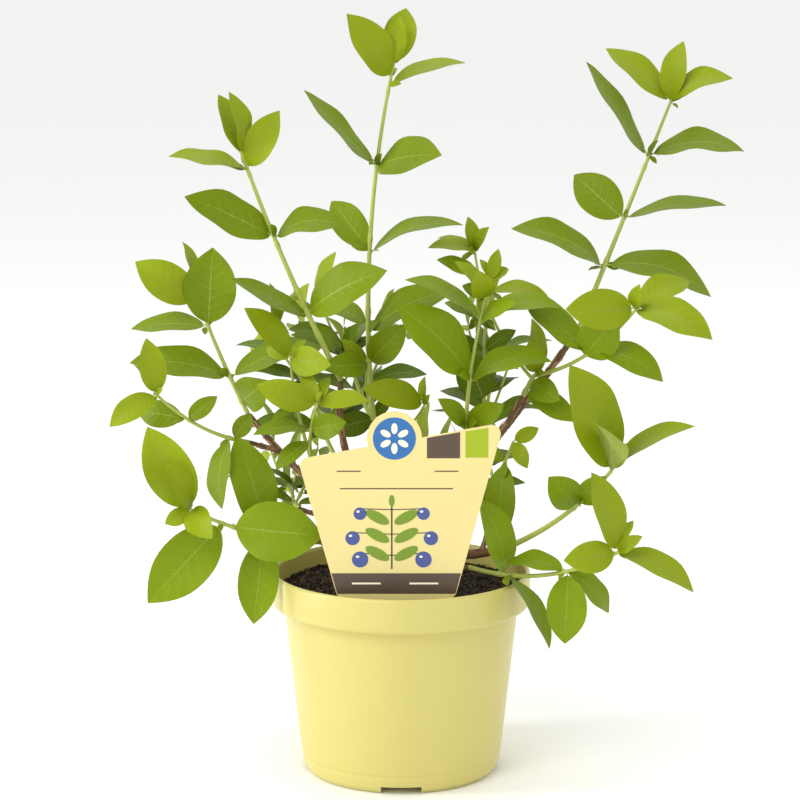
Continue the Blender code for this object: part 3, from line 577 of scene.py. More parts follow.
# Boughs: name, the limb it leaves, how far along that limb, its tip, the bow
# of its middle, and its radius at the foot and at the tip
BOUGHS = (
    ("bough_centre", "trunk", 1.00, (-14, 12, 177), (3, 1, 0), 2.3, 1.7),
    ("bough_left", "trunk", 0.84, (-30, 2, 199), (-12, -3, -8), 2.2, 1.5),
    ("bough_right", "trunk", 0.88, (89, 20, 221), (1, 1, -2), 2.5, 1.5),
    ("bough_low_right", "trunk", 0.46, (52, -8, 115.5), (0, -2, -2), 2.4, 1.9),
    ("bough_bottom_right", "trunk", 0.22, (34, -14, 107), (0, -3, 0), 1.8, 1.4),
    ("bough_low_left", "trunk", 0.40, (-50, -10, 120), (0, -3, 2), 2.0, 1.5),
    ("bough_upper_left", "trunk", 0.62, (-77, 8, 181), (4, 3, -16), 2.2, 1.4),
    ("bough_back_left", "trunk", 0.60, (-34, 50, 150), (-4, 4, -8), 2.2, 1.5),
    ("bough_back_right", "trunk", 0.70, (40, 54, 150), (3, 4, -8), 2.2, 1.5),
    ("bough_mid_left", "bough_upper_left", 0.84, (-76, -3, 168.5), (0, -1, 0), 1.3, 1.1),
    ("bough_inner_left", "bough_upper_left", 0.42, (-40, -1, 146), (-2, -2, 0), 1.5, 1.2),
    ("bough_middle", "bough_centre", 0.30, (-4, 20, 157), (2, 1, -2), 1.5, 1.2),
    ("bough_inner_right", "bough_right", 0.20, (32, -2, 172), (3, -3, -3), 1.6, 1.2),
    ("bough_inner_back", "bough_right", 0.30, (42, 14, 181), (2, 0, -4), 1.5, 1.1),
    ("bough_mid_right", "bough_right", 0.55, (61, 9, 190), (0, -1, 0), 1.4, 1.2),
    ("bough_small_right", "bough_low_right", 0.72, (50, 2, 152), (1, 2, 0), 1.3, 1.0),
    ("bough_back_top", "bough_back_left", 0.50, (-16, 46, 172), (2, 3, -4), 1.6, 1.2),
    ("bough_back_low_left", "bough_back_left", 0.42, (-52, 34, 126), (-2, 2, -2), 1.5, 1.2),
    ("bough_back_low_right", "bough_back_right", 0.38, (34, 46, 124), (3, 2, -2), 1.5, 1.2),
)


def unit(vector):
    return vector / np.linalg.norm(vector)


def curve(foot, tip, bow, shares):
    """Points from foot to tip, pushed sideways by the bow, most at the middle."""
    foot, tip, bow = (np.asarray(point, float) for point in (foot, tip, bow))
    share = np.atleast_1d(shares)[:, None]
    return foot + share * (tip - foot) + 4 * share * (1 - share) * bow


limbs = {"trunk": ((TRUNK_FOOT, TRUNK_TIP, TRUNK_BOW), TRUNK_RADIUS, TRUNK_TIP_RADIUS)}
for name, parent, share, tip, bow, foot_radius, tip_radius in BOUGHS:
    foot = curve(*limbs[parent][0], share)[0]
    limbs[name] = ((foot, tip, bow), foot_radius, tip_radius)
print("limbs:", len(limbs))

# %% Bark with furrows and peeling strips
# Bark: how far apart its rings are, its sides, and how many strips peel on each mm
RING_STEP = 0.8
TRUNK_SIDES, BOUGH_SIDES = 44, 18
STRIPS_PER_MM = 0.45
STRIP_ROWS, STRIP_COLUMNS = 5, 3
draw = np.random.default_rng(8)


def bark_limb(name, place):
    """Furrowed skin of one limb, and the strips that peel from it.

    The radius is the limb's own, plus a flare where it leaves what carries it, plus
    a tenth of it times noise that is stretched along the limb.
    """
    route, foot_radius, tip_radius = limbs[name]
    length = np.linalg.norm(np.subtract(route[1], route[0]))
    trunk = name == "trunk"
    shares = np.linspace(-0.15 if trunk else 0.0, 1.0, int(length / RING_STEP) + 3)
    radii = foot_radius + (tip_radius - foot_radius) * np.clip(shares, 0, 1)
    if trunk:
        radii += TRUNK_FLARE * np.exp(-np.clip(shares, 0, 1) / 0.16)
    else:
        radii += 0.4 * foot_radius * np.exp(-shares * length / (1.6 * foot_radius))
    points = curve(*route, shares)
    sides = TRUNK_SIDES if trunk else BOUGH_SIDES
    around = ring_vectors(points, sides)
    outer = points[:, None] + radii[:, None, None] * around
    furrow = 0.1 * radii[:, None] * ripple(outer * (1, 1, 0.14), 2.4, place)
    furrow[-1] = 0.2 - radii[-1]
    outer = outer + furrow[..., None] * around
    count = max(4, int(STRIPS_PER_MM * length))
    row = draw.integers(1, len(points) - 2 * STRIP_ROWS, count)[:, None, None]
    row = row + 2 * np.arange(STRIP_ROWS)[:, None]
    column = (draw.integers(0, sides, count)[:, None, None] + np.arange(STRIP_COLUMNS)) % sides
    curl = np.linspace(0, 1, STRIP_ROWS)[:, None] ** 2 * draw.uniform(0.1, 0.45, (count, 1, 1))
    off = (1 + curl) * radii[row] + 0.1
    strips = points[row] + off[..., None] * around[row, column]
    bark = (outer.reshape(-1, 3), grid_faces(len(points), sides, closed=True))
    strip_faces = copies(STRIP_ROWS * STRIP_COLUMNS, grid_faces(STRIP_ROWS, STRIP_COLUMNS), count)
    return bark, (strips.reshape(-1, 3), strip_faces)


wood = [bark_limb(name, place) for place, name in enumerate(limbs)]
LIMB_NODES = list(limbs)
bark = finish("honeyberry_bark", "75573F", 0.88, 0.0016, 0.0003, (1.0, 1.0, 0.2))
peel = finish("peeling_bark_strip", "A5835F", 0.85, 0.001, 0.0001, (1.0, 1.0, 0.2))
add_piece("bark_of_limbs", joined([part for part, _ in wood]), bark, LIMB_NODES, crease=60.0)
add_piece("bark_strips", joined([part for _, part in wood]), peel, LIMB_NODES, crease=60.0)

# %% [markdown]
# ## Where the leaves are
# Leaves sit in opposite pairs on green shoots. The table gives each shoot of a spray
# and each leaf on it. A leaf that would touch a limb or another leaf is swung in
# depth, and it is left out if no swing clears it. The sprays at the back, which the
# front doesn't show, grow from a seed.

# %% Shoots and leaves of each spray
# Leafy shoots of each mass: the tip, the bow of the middle, the radius at the foot
# and at the tip, the shoot that it leaves and how far along (None is the bough's
# tip), then its leaves. A leaf is how far along the shoot it sits, its angle in the
# front view, its length, how far it leans towards the viewer, how far its face is
# turned up from the viewer, and its width and arch where they aren't the usual ones.
MASSES = {
    "tall_centre": ("bough_centre", (
        ((-3, 30, 358), (-7, -2, 0), 1.5, 0.8, None, 0.0, (
            (1.00, 84, 26, 15, 0), (1.00, 77, 29, -14, 0, 0.56),
            (0.94, 123, 41, 10, 18, 0.46), (0.92, 17, 40, -10, 62, 0.42, 0.07),
            (0.70, 131, 54, 15, 66, 0.40, -0.03), (0.70, 18, 50, 50, 36, 0.46, 0.05),
            (0.47, 130, 33, -25, 0, 0.50), (0.46, 19, 49, 5, 68, 0.42, 0.12),
            (0.26, 164, 35, -35, 50), (0.24, 28, 50, 5, 52, 0.46),
            (0.16, 50, 33, 20, 0, 0.48), (0.15, 174, 31, 30, 15))),
    )),
    "tall_left": ("bough_left", (
        ((-78, -17, 316), (-2, 0, -1), 1.5, 0.8, None, 0.0, (
            (1.00, 110, 31, 0, 45, 0.50, 0.04), (1.00, 99, 33, 18, 55),
            (0.91, 167, 39, 10, 60, 0.42, 0.06), (0.92, 61, 33, 0, 8, 0.46),
            (0.63, 152, 49, 15, 35, 0.46, 0.03), (0.63, 11, 36, 10, 46, 0.52, 0.20),
            (0.28, 150, 44, 10, 62, 0.42, -0.01), (0.30, 33, 50, 25, 30, 0.48),
            (0.36, 168, 19, -50, 0), (0.24, -55, 23, -40, 43))),
    )),
    "tall_right": ("bough_right", (
        ((136, 36, 337), (0, -1, 0), 1.4, 0.7, None, 0.0, (
            (1.00, 80, 31, 5, 30, 0.46), (1.00, 98, 14, -20, 48),
            (1.00, 139, 42, -10, 42, 0.46, 0.05), (0.99, 25, 34, 20, 48, 0.48, 0.20),
            (0.74, 122, 59, 10, 64, 0.40, -0.02), (0.75, 5, 47, 10, 55, 0.46, 0.13),
            (0.48, 139, 34, -20, 0, 0.60, 0.02), (0.48, 11, 52, 15, 70, 0.42, 0.05),
            (0.27, 154, 53, 15, 55, 0.46, 0.11), (0.28, -14, 55, 10, 52, 0.46, 0.15))),
    )),
    "mid_right": ("bough_mid_right", (
        ((67, 4, 202), (0, 0, 0), 1.2, 1.0, None, 0.0, (
            (1.00, 96, 20, 20, 0, 0.56), (1.00, 92, 28, -20, 43),
            (0.60, -25, 21, 45, 0, 0.60), (0.20, -28, 30, 20, 15))),
        ((115, -26, 240), (1, -1, -6), 1.1, 0.7, 0, 0.90, (
            (1.00, 176, 36, 20, 0, 0.56, 0.04), (1.00, -17, 41, 25, 38, 0.50, 0.14),
            (1.00, 25, 33, -25, 35, 0.50, 0.15), (1.00, 87, 18, 40, 38),
            (0.46, 55, 30, 15, 0, 0.68), (0.52, 141, 41, -10, 38, 0.44, 0.02),
            (0.58, -23, 37, 20, 40, 0.50, 0.12))),
        ((37, 34, 261), (-5, 1, -3), 0.9, 0.6, 0, 0.75, (
            (1.00, 171, 25, 20, 55), (1.00, 161, 21, -10, 55),
            (1.00, 101, 18, 5, 14), (1.00, 65, 18, 10, 42),
            (0.80, 156, 23, 0, 34), (0.76, 28, 16, -20, 10))),
    )),
    "low_right": ("bough_low_right", (
        ((103, -38, 162), (2, -3, -3), 1.6, 0.9, None, 0.0, (
            (1.00, 110, 57, 5, 35, 0.54, 0.05), (1.00, 106, 46, 22, 120),
            (1.00, 34, 48, 15, 70, 0.42), (1.00, 40, 24, -40, 54),
            (0.63, 130, 25, 30, 0, 0.66), (0.65, 51, 21, 10, 0, 0.60))),
    )),
    "bottom_right": ("bough_bottom_right", (
        ((106, -58, 126), (0, -8, -6), 1.3, 0.8, None, 0.0, (
            (1.00, 107, 42, 5, 38, 0.46, 0.06), (1.00, -25, 41, 8, 50, 0.42, 0.12),
            (0.97, -177, 27, 20, 0, 0.58), (1.00, 43, 17, 30, 25),
            (1.00, 59, 19, -10, 45), (0.65, -92, 35, 10, 0, 0.56),
            (0.65, -47, 34, -20, 42), (0.64, 176, 32, -30, 50),
            (0.24, 107, 42, 10, 38, 0.46), (0.26, -57, 42, 28, 60, 0.36, 0.08))),
    )),
    "low_left": ("bough_low_left", (
        ((-104, -40, 143), (0, -1, -3), 1.4, 0.8, None, 0.0, (
            (1.00, 115, 47, 10, 0, 0.50), (1.00, 111, 36, 25, 48),
            (0.98, -36, 28, 60, 0, 0.50), (1.00, -154, 14, 20, 0, 0.60),
            (0.62, -3, 46, 12, 0, 0.64), (0.70, -135, 53, 20, 0, 0.50, 0.04),
            (0.33, -97, 44, 10, 0, 0.46, 0.05), (0.33, 106, 51, -14, 20, 0.44))),
    )),
    "mid_left": ("bough_mid_left", (
        ((-121, -22, 197), (-1, -2, -4), 1.1, 0.7, None, 0.0, (
            (1.00, 98, 29, 10, 14, 0.46), (1.00, -149, 28, 25, 20, 0.46),
            (1.00, 128, 19, -20, 60), (0.65, 175, 26, -20, 0, 0.52),
            (0.63, 39, 19, 10, 0, 0.46), (0.19, -97, 36, 15, 46, 0.46),
            (0.15, 55, 15, 30, 0, 0.60))),
    )),
    "upper_left": ("bough_upper_left", (
        ((-104, 18, 243), (-1, 2, -1), 1.2, 0.7, None, 0.0, (
            (0.90, 146, 37, 10, 0, 0.52), (1.00, 104, 26, -20, 60),
            (0.97, 78, 18, -35, 54), (0.70, 86, 40, 5, 0, 0.66, 0.03),
            (0.70, -178, 40, -10, 56, 0.44, 0.05), (0.30, 168, 51, 15, 50, 0.46, 0.08),
            (0.29, 19, 49, -5, 56, 0.46), (0.10, 45, 27, 45, 0, 0.68))),
    )),
    "inner_left": ("bough_inner_left", (
        ((-55, -2, 212), (-3, 2, 0), 1.2, 0.6, None, 0.0, (
            (1.00, 130, 34, 5, 38, 0.46), (1.00, 51, 13, -30, 32),
            (1.00, 162, 15, -30, 0), (0.99, 1, 28, 45, 0, 0.54),
            (0.60, -152, 15, 20, 41), (0.60, 20, 23, -30, 40))),
        ((-41, -18, 191), (-3, -5, 0), 1.0, 0.6, 0, 0.12, (
            (1.00, 158, 32, 15, 0, 0.46), (1.00, 9, 27, 20, 38),
            (1.00, 113, 18, -10, 0, 0.45), (1.00, 65, 16, -30, 27),
            (0.62, 178, 30, 25, 54), (0.64, 19, 22, 35, 0, 0.60),
            (0.46, -145, 23, 30, 28))),
    )),
    "middle": ("bough_middle", (
        ((-17, 22, 205), (-5, -1, 0), 0.9, 0.6, None, 0.0, (
            (0.98, 134, 18, 10, 0), (1.00, 50, 12, -30, 0, 0.50),
            (0.40, -168, 23, 20, 0, 0.56), (0.40, 53, 13, -10, 0, 0.51))),
        ((12, 8, 186), (2, 0, -2), 0.8, 0.6, 0, 0.15, (
            (0.98, 161, 34, 20, 24, 0.46), (1.00, 90, 14, 0, 46),
            (1.00, 70, 9, 20, 26))),
    )),
    "inner_right": ("bough_inner_right", (
        ((42, -12, 244), (-2, 1, 0), 1.2, 0.7, None, 0.0, (
            (1.00, 128, 25, 15, 50), (1.00, 107, 24, 10, 0, 0.50),
            (0.82, 149, 43, 10, 64), (0.84, 9, 40, 5, 60, 0.44, 0.12),
            (0.80, 36, 27, 40, 50), (0.82, 158, 24, -40, 40),
            (0.42, 134, 52, 10, 28, 0.50), (0.37, 19, 43, 15, 54, 0.46, 0.18),
            (0.06, 130, 24, 30, 28), (0.07, 33, 23, 20, 0, 0.52))),
    )),
    "inner_back": ("bough_inner_back", (
        ((45, 13, 249), (-2, 0, 0), 0.9, 0.6, None, 0.0, (
            (1.00, 77, 16, 0, 7), (0.99, 117, 12, -20, 34),
            (0.90, -3, 30, 15, 54), (0.87, 159, 14, 10, 0, 0.53),
            (0.46, 160, 18, -15, 0), (0.45, 33, 19, -20, 15),
            (0.12, 95, 39, 10, 54), (0.08, 111, 32, 20, 0, 0.58))),
    )),
    "small_right": ("bough_small_right", (
        ((56, -6, 170), (0, 0, 0), 0.9, 0.6, None, 0.0, (
            (1.00, 30, 14, 10, 0, 0.53), (1.00, -61, 16, 35, 0, 0.50),
            (0.35, -93, 39, 15, 24), (0.30, 146, 18, -20, 18))),
    )),
}

# %% Sprays at the back and the form of a blade
# Masses at the back, which the front view doesn't show: the bough, the stem's tip and
# bow, how many pairs of leaves, and the seed of its side shoots and leaves
BACK_MASSES = {
    "back_left": ("bough_back_left", (-50, 86, 212), (-4, 6, -4), 4, 11),
    "back_right": ("bough_back_right", (44, 88, 216), (4, 6, -4), 4, 12),
    "back_top": ("bough_back_top", (-30, 64, 214), (-2, 6, 0), 4, 13),
    "back_low_left": ("bough_back_low_left", (-56, 92, 132), (-3, 5, -4), 4, 14),
    "back_low_right": ("bough_back_low_right", (24, 104, 134), (4, 5, -4), 4, 15),
}

# Stem and side shoots of a mass at the back: radii at foot and tip, longest leaves,
# where the side shoots leave, how far they reach and how wide they spread
STEM_RADII = (1.2, 0.7)
SIDE_RADII = (0.9, 0.6)
STEM_LEAF = 34.0
SIDE_LEAF = 30.0
SIDE_SHARES = (0.25, 0.55)
SIDE_REACH = (38.0, 50.0)
SIDE_BOW = (0, 2, -3)
SIDE_SPREAD = 32.0
SIDE_PAIRS = 2

TWIG_SIDES = 3
TWIG_RINGS = 5

# Leaf blade: usual width and arch, fold and thickness as shares, and each
# cross-section as share along the blade and fullness
LEAF_WIDTH = 0.42
LEAF_ARCH = 0.10
LEAF_FOLD = 0.16
LEAF_THICK = 0.016
LEAF_ROWS = ((0.18, 0.72), (0.48, 1.00), (0.80, 0.72))
LEAF_CLEAR_FROM = 0.25
LEAF_ROOT_WIDE = 0.6
LEAF_ROOT_THICK = 0.4
ROOT_SET = 0.45
LEAF_SPARE = 0.8
# Turns in depth that are tried in order when a leaf would touch something
SWINGS = (0, 12, -12, 24, -24, 36, -36)
print("sprays:", len(MASSES) + len(BACK_MASSES))

# %% The coarse leaf that is tested for room
def heading(angle, toward):
    """Direction from its angle in the front view and its lean towards the viewer."""
    angle, toward = math.radians(angle), math.radians(toward)
    return np.array((math.cos(toward) * math.cos(angle), -math.sin(toward),
                     math.cos(toward) * math.sin(angle)))


def leaf_face(along, turn):
    """Way the leaf's upper face looks: to the viewer at turn 0, up at turn 90."""
    viewer = np.array((0.0, -1.0, 0.18))
    front = unit(viewer - along * viewer.dot(along))
    above = np.cross(along, front)
    above *= 1 if above[2] >= 0 else -1
    turn = math.radians(turn)
    return math.cos(turn) * front + math.sin(turn) * above


def leaf(root, along, face, length, width, arch, spare=0.0, start=0.0):
    """Closed leaf blade: a small root, wide folded cross-sections and a point."""
    across = np.cross(along, face)
    rows = [(start, LEAF_ROOT_WIDE + spare, LEAF_ROOT_THICK + spare, 0.0)]
    for share, fullness in LEAF_ROWS:
        half = 0.5 * width * length * fullness
        if share > start:
            rows.append((share, half + spare, 0.5 * LEAF_THICK * length + spare, LEAF_FOLD * half))
    corners = []
    for share, half, thick, lift in rows:
        rise = arch * length * 4 * share * (1 - share)
        middle = root + share * length * along + rise * face
        corners += [middle + half * across + lift * face, middle - thick * face,
                    middle - half * across + lift * face, middle + thick * face]
    corners.append(root + (length + spare) * along)
    faces = [(0, 2, 1), (0, 3, 2)]
    for row in range(len(rows) - 1):
        for side in range(4):
            a, b = 4 * row + side, 4 * row + (side + 1) % 4
            faces += [(a, b, b + 4), (a, b + 4, a + 4)]
    last = 4 * (len(rows) - 1)
    for side in range(4):
        faces.append((last + side, last + (side + 1) % 4, last + 4))
    return np.array(corners), faces


def tree_of(solid):
    corners, faces = solid
    return BVHTree.FromPolygons([tuple(corner) for corner in corners], faces)


def signed_distance(tree, point):
    """Distance from a solid's surface, below zero inside it."""
    spot, normal, _, distance = tree.find_nearest(tuple(point))
    outside = (np.asarray(point) - np.asarray(spot)).dot(np.asarray(normal)) >= 0
    return distance if outside else -distance


def clear_share(foot, tip, bow, radius, tree):
    """How far along a limb its flat foot first stands GAP clear of what carries it."""
    for share in np.arange(0.0, 0.6, 0.002):
        ends = curve(foot, tip, bow, (share, share + 0.01))
        centre, along = ends[0], unit(ends[1] - ends[0])
        side = unit(np.cross(along, np.eye(3)[np.argmin(np.abs(along))]))
        other = np.cross(along, side)
        ring = [centre] + [centre + radius * (math.cos(turn) * side + math.sin(turn) * other)
                           for turn in np.linspace(0, 2 * math.pi, 12, endpoint=False)]
        if min(signed_distance(tree, point) for point in ring) >= GAP:
            return share
    raise ValueError("limb never clears what carries it")


sample = leaf(np.zeros(3), np.eye(3)[0], np.eye(3)[2], 40, 0.4, 0.1)
print("a leaf's test solid has", len(sample[1]), "faces")

# %% The rule that places shoots and leaves
def main_shoots(mass):
    """Shoots of a mass as rows of tip, bow, radii, carrier, share and leaves."""
    if mass in MASSES:
        return MASSES[mass][1]
    _, tip, bow, pairs, seed = BACK_MASSES[mass]
    return back_shoots(mass, np.array(tip, float), bow, pairs, np.random.default_rng(seed))


def back_shoots(mass, tip, bow, pairs, draw):
    """Stem and two side shoots with opposite pairs, each pair crossing the one before."""
    foot = np.array(dict((row[0], row[3]) for row in BOUGHS)[BACK_MASSES[mass][0]], float)
    rows = [(tip, bow, *STEM_RADII, None, 0.0, paired_leaves(tip - foot, pairs, STEM_LEAF, draw))]
    for number, share in enumerate(SIDE_SHARES):
        base = curve(foot, tip, bow, share)[0]
        outward = unit(np.array((SIDE_SPREAD * (1 - 2 * number), 40.0, 30.0)) +
                       draw.uniform(-12, 12, 3))
        reach = draw.uniform(*SIDE_REACH) * (1 - 0.3 * share)
        side_tip = base + reach * unit(outward + 0.7 * unit(tip - foot))
        rows.append((side_tip, SIDE_BOW, *SIDE_RADII, 0, share,
                     paired_leaves(side_tip - base, SIDE_PAIRS, SIDE_LEAF, draw)))
    return rows


def paired_leaves(run, pairs, longest, draw):
    """Opposite leaves up a shoot, the longest past its middle and two small at the tip."""
    along = unit(run)
    side = unit(np.cross(along, (0.0, 0.0, 1.0)))
    other = np.cross(along, side)
    leaves = []
    for number in range(pairs):
        share = 0.22 + 0.78 * number / max(pairs - 1, 1)
        turn = math.radians(90 * number + draw.uniform(-18, 18))
        length = longest * (0.62 + 0.55 * math.sin(math.pi * (0.15 + 0.62 * share)))
        for half in (0.0, math.pi):
            spread = math.cos(turn + half) * side + math.sin(turn + half) * other
            way = unit(spread + draw.uniform(0.35, 0.75) * along + np.array((0, 0, -0.12)))
            toward = math.degrees(math.asin(-way[1]))
            angle = math.degrees(math.atan2(way[2], way[0]))
            leaves.append((share, angle, length * draw.uniform(0.85, 1.1), toward,
                           draw.uniform(50, 85)))
    return tuple(leaves)


def plan_shoots(rows, foot, tree):
    """Solid, route and leaves of each shoot of a mass."""
    plans = []
    for tip, bow, foot_radius, tip_radius, carrier, share, leaves in rows:
        if carrier is None:
            route = (foot, np.array(tip, float), bow)
            start = clear_share(*route, foot_radius, tree)
        else:
            route = (curve(*plans[carrier][1], share)[0], np.array(tip, float), bow)
            start = 0.0
        shares = np.linspace(start, 1, TWIG_RINGS)
        radii = foot_radius + (tip_radius - foot_radius) * shares
        plans.append((tube(curve(*route, shares), radii, TWIG_SIDES), route, leaves))
    return plans


def place_leaf(route, row, others, own):
    """Root, directions and form of a leaf, swung in depth until it is clear of all else.

    Its blade, but not its root, also stays clear of its own mass.
    """
    share, angle, length, toward, turn = row[:5]
    width, arch = (tuple(row[5:]) + (LEAF_WIDTH, LEAF_ARCH)[len(row) - 5:])[:2]
    knot = curve(*route, min(share, 0.975))[0]
    for swing in SWINGS:
        along = heading(angle, toward + swing)
        face = leaf_face(along, turn)
        form = knot + ROOT_SET * along, along, face, length, width, arch
        whole = tree_of(leaf(*form, LEAF_SPARE))
        outer = tree_of(leaf(*form, 0.5 * LEAF_SPARE, LEAF_CLEAR_FROM))
        if not (any(whole.overlap(block) for block in others) or
                any(outer.overlap(block) for block in own)):
            return form
    return None


def cad_tree(name):
    """Search tree of a CAD node's triangles, in millimetres."""
    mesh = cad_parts[name].data
    mesh.calc_loop_triangles()
    faces = np.empty(3 * len(mesh.loop_triangles), np.int32)
    mesh.loop_triangles.foreach_get("vertices", faces)
    return BVHTree.FromPolygons(corners_of(mesh).tolist(), faces.reshape(-1, 3).tolist())


sprays = list(MASSES) + list(BACK_MASSES)
plans = {}
for mass in sprays:
    bough = (MASSES.get(mass) or BACK_MASSES[mass])[0]
    foot = np.array(limbs[bough][0][1], float)
    plans[mass] = plan_shoots(main_shoots(mass), foot, cad_tree(bough))
print("shoots:", sum(len(plan) for plan in plans.values()))

# %% Place the leaves, then small axil leaves
# Small leaves: the share of axils that may have one, and their lengths
SMALL_SHARE = 0.6
SMALL_LENGTHS = (5, 11)
obstacles = [cad_tree(name) for name in LIMB_NODES + ["pot", "compost", "plant_label"]]
stems = [(mass, tree_of(solid)) for mass in sprays for solid, _, _ in plans[mass]]
grown = []
leaves = []


def grow(mass, number, row):
    """Places one leaf of a shoot if there is room, and notes it."""
    others = obstacles + [tree for owner, tree in stems + grown if owner != mass]
    own = [tree for owner, tree in stems + grown if owner == mass]
    route = plans[mass][number][1]
    form = place_leaf(route, row, others, own)
    if form is not None:
        grown.append((mass, tree_of(leaf(*form))))
        leaves.append((mass, row[0], curve(*route, min(row[0], 0.985))[0], form))
    return form is not None


asked = [(mass, number, row) for mass in sprays
         for number, (_, _, rows) in enumerate(plans[mass]) for row in rows]
placed = sum(grow(*leaf_row) for leaf_row in asked)
draw = np.random.default_rng(12)
extra = 0
for mass, number, row in asked:
    small = (row[0], row[1] + draw.uniform(-60, 60), draw.uniform(*SMALL_LENGTHS),
             row[3] + draw.uniform(-35, 35), draw.uniform(10, 70), 0.5)
    if draw.uniform() < SMALL_SHARE:
        extra += grow(mass, number, small)
print("leaves placed:", placed, "of", len(asked), "and", extra, "small ones")

# %% [markdown]
# ## Shoots, stalks and buds
# This year's shoots are yellow-green and swell at each node, where two leaf stalks
# and two buds sit. They start inside the bough's tip, so that wood and shoot read as
# one limb.

# %% Green shoots with swollen nodes
shoots = []
for mass, plan in plans.items():
    for place, (_, route, rows) in enumerate(plan):
        foot_radius, tip_radius = main_shoots(mass)[place][2:4]
        length = np.linalg.norm(np.subtract(route[1], route[0]))
        shares = np.linspace(0, 1, int(length / 1.2) + 3)
        radii = foot_radius + (tip_radius - foot_radius) * shares
        nodes = np.array(sorted({round(row[0], 1) for row in rows}))
        swell = np.exp(-((shares[:, None] - nodes) * length / 1.5) ** 2).sum(1)
        radii *= 1 + 0.3 * swell
        radii[-1] = 0.1
        shoots.append(skin(curve(*route, shares), radii, 10))
young = finish("green_shoot_rind", "A5AF4C", 0.5, 0.0012, 0.00008, (1.0, 1.0, 0.2))
add_piece("green_shoots", joined(shoots), young, sprays, crease=70.0)

# %% Leaf stalks and axil buds
knots = np.array([knot for _, _, knot, _ in leaves])
roots, alongs, uppers, lengths, widths, arches = (
    np.array([form[place] for *_, form in leaves], float) for place in range(6))
stalks = []
for knot, root, along, length in zip(knots, roots, alongs, lengths):
    end = root + 0.09 * length * along
    stalks.append(skin(curve(knot, end, (0, 0, 0.02 * length), np.linspace(0, 1, 5)),
                       np.linspace(0.5, 0.28, 5) * min(1, length / 30), 6))
stalk = finish("leaf_stalk_rind", "A9B552", 0.5, 0.001, 0.00005)
add_piece("leaf_stalks", joined(stalks), stalk, sprays, crease=70.0)
grain, grain_faces = ball(6, 8)
old = lengths > 18
bud_size = np.array((0.55, 0.55, 0.95)) * np.clip(lengths[old] / 45, 0.6, 1.1)[:, None, None]
centres = knots[old] + 1.1 * alongs[old] + (0, 0, 0.8)
buds = (centres[:, None] + grain[None] * bud_size).reshape(-1, 3)
bud = finish("axil_bud_scale", "8A8A4A", 0.6, 0.0006, 0.00005)
bud_faces = copies(len(grain), grain_faces, int(old.sum()))
add_piece("axil_buds", (buds, bud_faces), bud, sprays, crease=70.0)

# %% [markdown]
# ## The leaf blades
# A honeyberry leaf is oblong with a blunt tip, folded a little along its midrib, with
# a paler underside and sunken side veins. Instances of one leaf would all bend alike,
# so one formula makes every blade at once from arrays, each with its own arch, fold
# and wavy edge. The veins' quilting is relief in the finish, which follows the blade's
# own two shares.

# %% One formula for every blade
draw = np.random.default_rng(4)
waves = draw.uniform(0.03, 0.11, len(lengths))
phases = draw.uniform(0, 2 * np.pi, len(lengths))
blades = (roots, alongs, uppers, lengths, widths, arches, waves, phases)


def blade(form, u, v, lift=0.0):
    """Points of the blades at shares u along them and v from edge (-1) to edge (1).

    With s = 0.045 + 0.955 u and half = width length / 2 (1 - |2 u^0.93 - 1|^2.2)^(0.7 + 0.3 u),
    a point is root + s length along + v half across + rise face, and
    rise = 4 arch length s (1 - s) + fold half |v|^1.4 - 0.03 length s^3
           + wave half |v|^3 sin(3.4 pi u + phase) + lift.
    """
    root, along, face = form[:3]
    length, width, arch, wave, phase = (value[:, None] for value in form[3:])
    share = 0.045 + 0.955 * u
    full = np.clip(1 - np.abs(2 * u ** 0.93 - 1) ** 2.2, 0, 1) ** (0.7 + 0.3 * u)
    half = 0.5 * width * length * full + 0.05
    rise = 4 * arch * length * share * (1 - share) + LEAF_FOLD * half * np.abs(v) ** 1.4
    rise = rise - 0.03 * length * share ** 3 + lift
    rise = rise + wave * half * np.abs(v) ** 3 * np.sin(3.4 * np.pi * u + phase)
    across = np.cross(along, face)
    return (root[:, None] + (share * length)[..., None] * along[:, None] +
            (v * half)[..., None] * across[:, None] + rise[..., None] * face[:, None])


ROWS, COLUMNS = 21, 11
rows_u = 0.5 - 0.5 * np.cos(np.pi * np.arange(ROWS) / (ROWS - 1))
grid_u, grid_v = (part.ravel() for part in np.meshgrid(
    rows_u, np.linspace(-1, 1, COLUMNS), indexing="ij"))
thick = 0.1 * (1 - grid_v ** 6) * np.sin(np.pi * grid_u)
print("corners of one side of a blade:", len(grid_u))

# %% The finish of a blade
def leaf_finish(name, colour, roughness):
    """Leaf skin whose relief is quilted between side veins and has a fine grain."""
    shade = finish(name, colour, roughness, 0.0016, 0.00008)
    tree = shade.node_tree
    tree.nodes["Principled BSDF"].inputs["Specular IOR Level"].default_value = 0.16
    relief = tree.nodes["Bump"]
    grain = relief.inputs["Height"].links[0].from_socket
    place = node(tree, "ShaderNodeTexCoord", {})
    split = node(tree, "ShaderNodeSeparateXYZ", {0: place.outputs["UV"]})
    middle = maths(tree, 'MULTIPLY_ADD', split.outputs["Y"], 2.0, -1.0)
    lag = maths(tree, 'MULTIPLY', maths(tree, 'ABSOLUTE', middle), -7.5)
    phase = maths(tree, 'MULTIPLY_ADD', split.outputs["X"], 46.0, lag)
    quilt = maths(tree, 'MULTIPLY_ADD', maths(tree, 'SINE', phase), 0.7, grain)
    tree.links.new(quilt, relief.inputs["Height"])
    return shade


# Leaf tints; the darkest is painted shade, for the sprays inside and at the back of the bush
TINTS = {
    "young": "88980D",
    "bright": "788F08",
    "middle": "708507",
    "painted_shade": "5A7106",
}
# Sprays inside and at the back of the bush get the darkest tint: painted shade where the bush
# shades itself
PAINTED_SHADE_SPRAYS = {"inner_back", "middle", *BACK_MASSES}
BRIGHT = {"mid_right", "low_right", "bottom_right", "inner_right", "small_right", "low_left"}


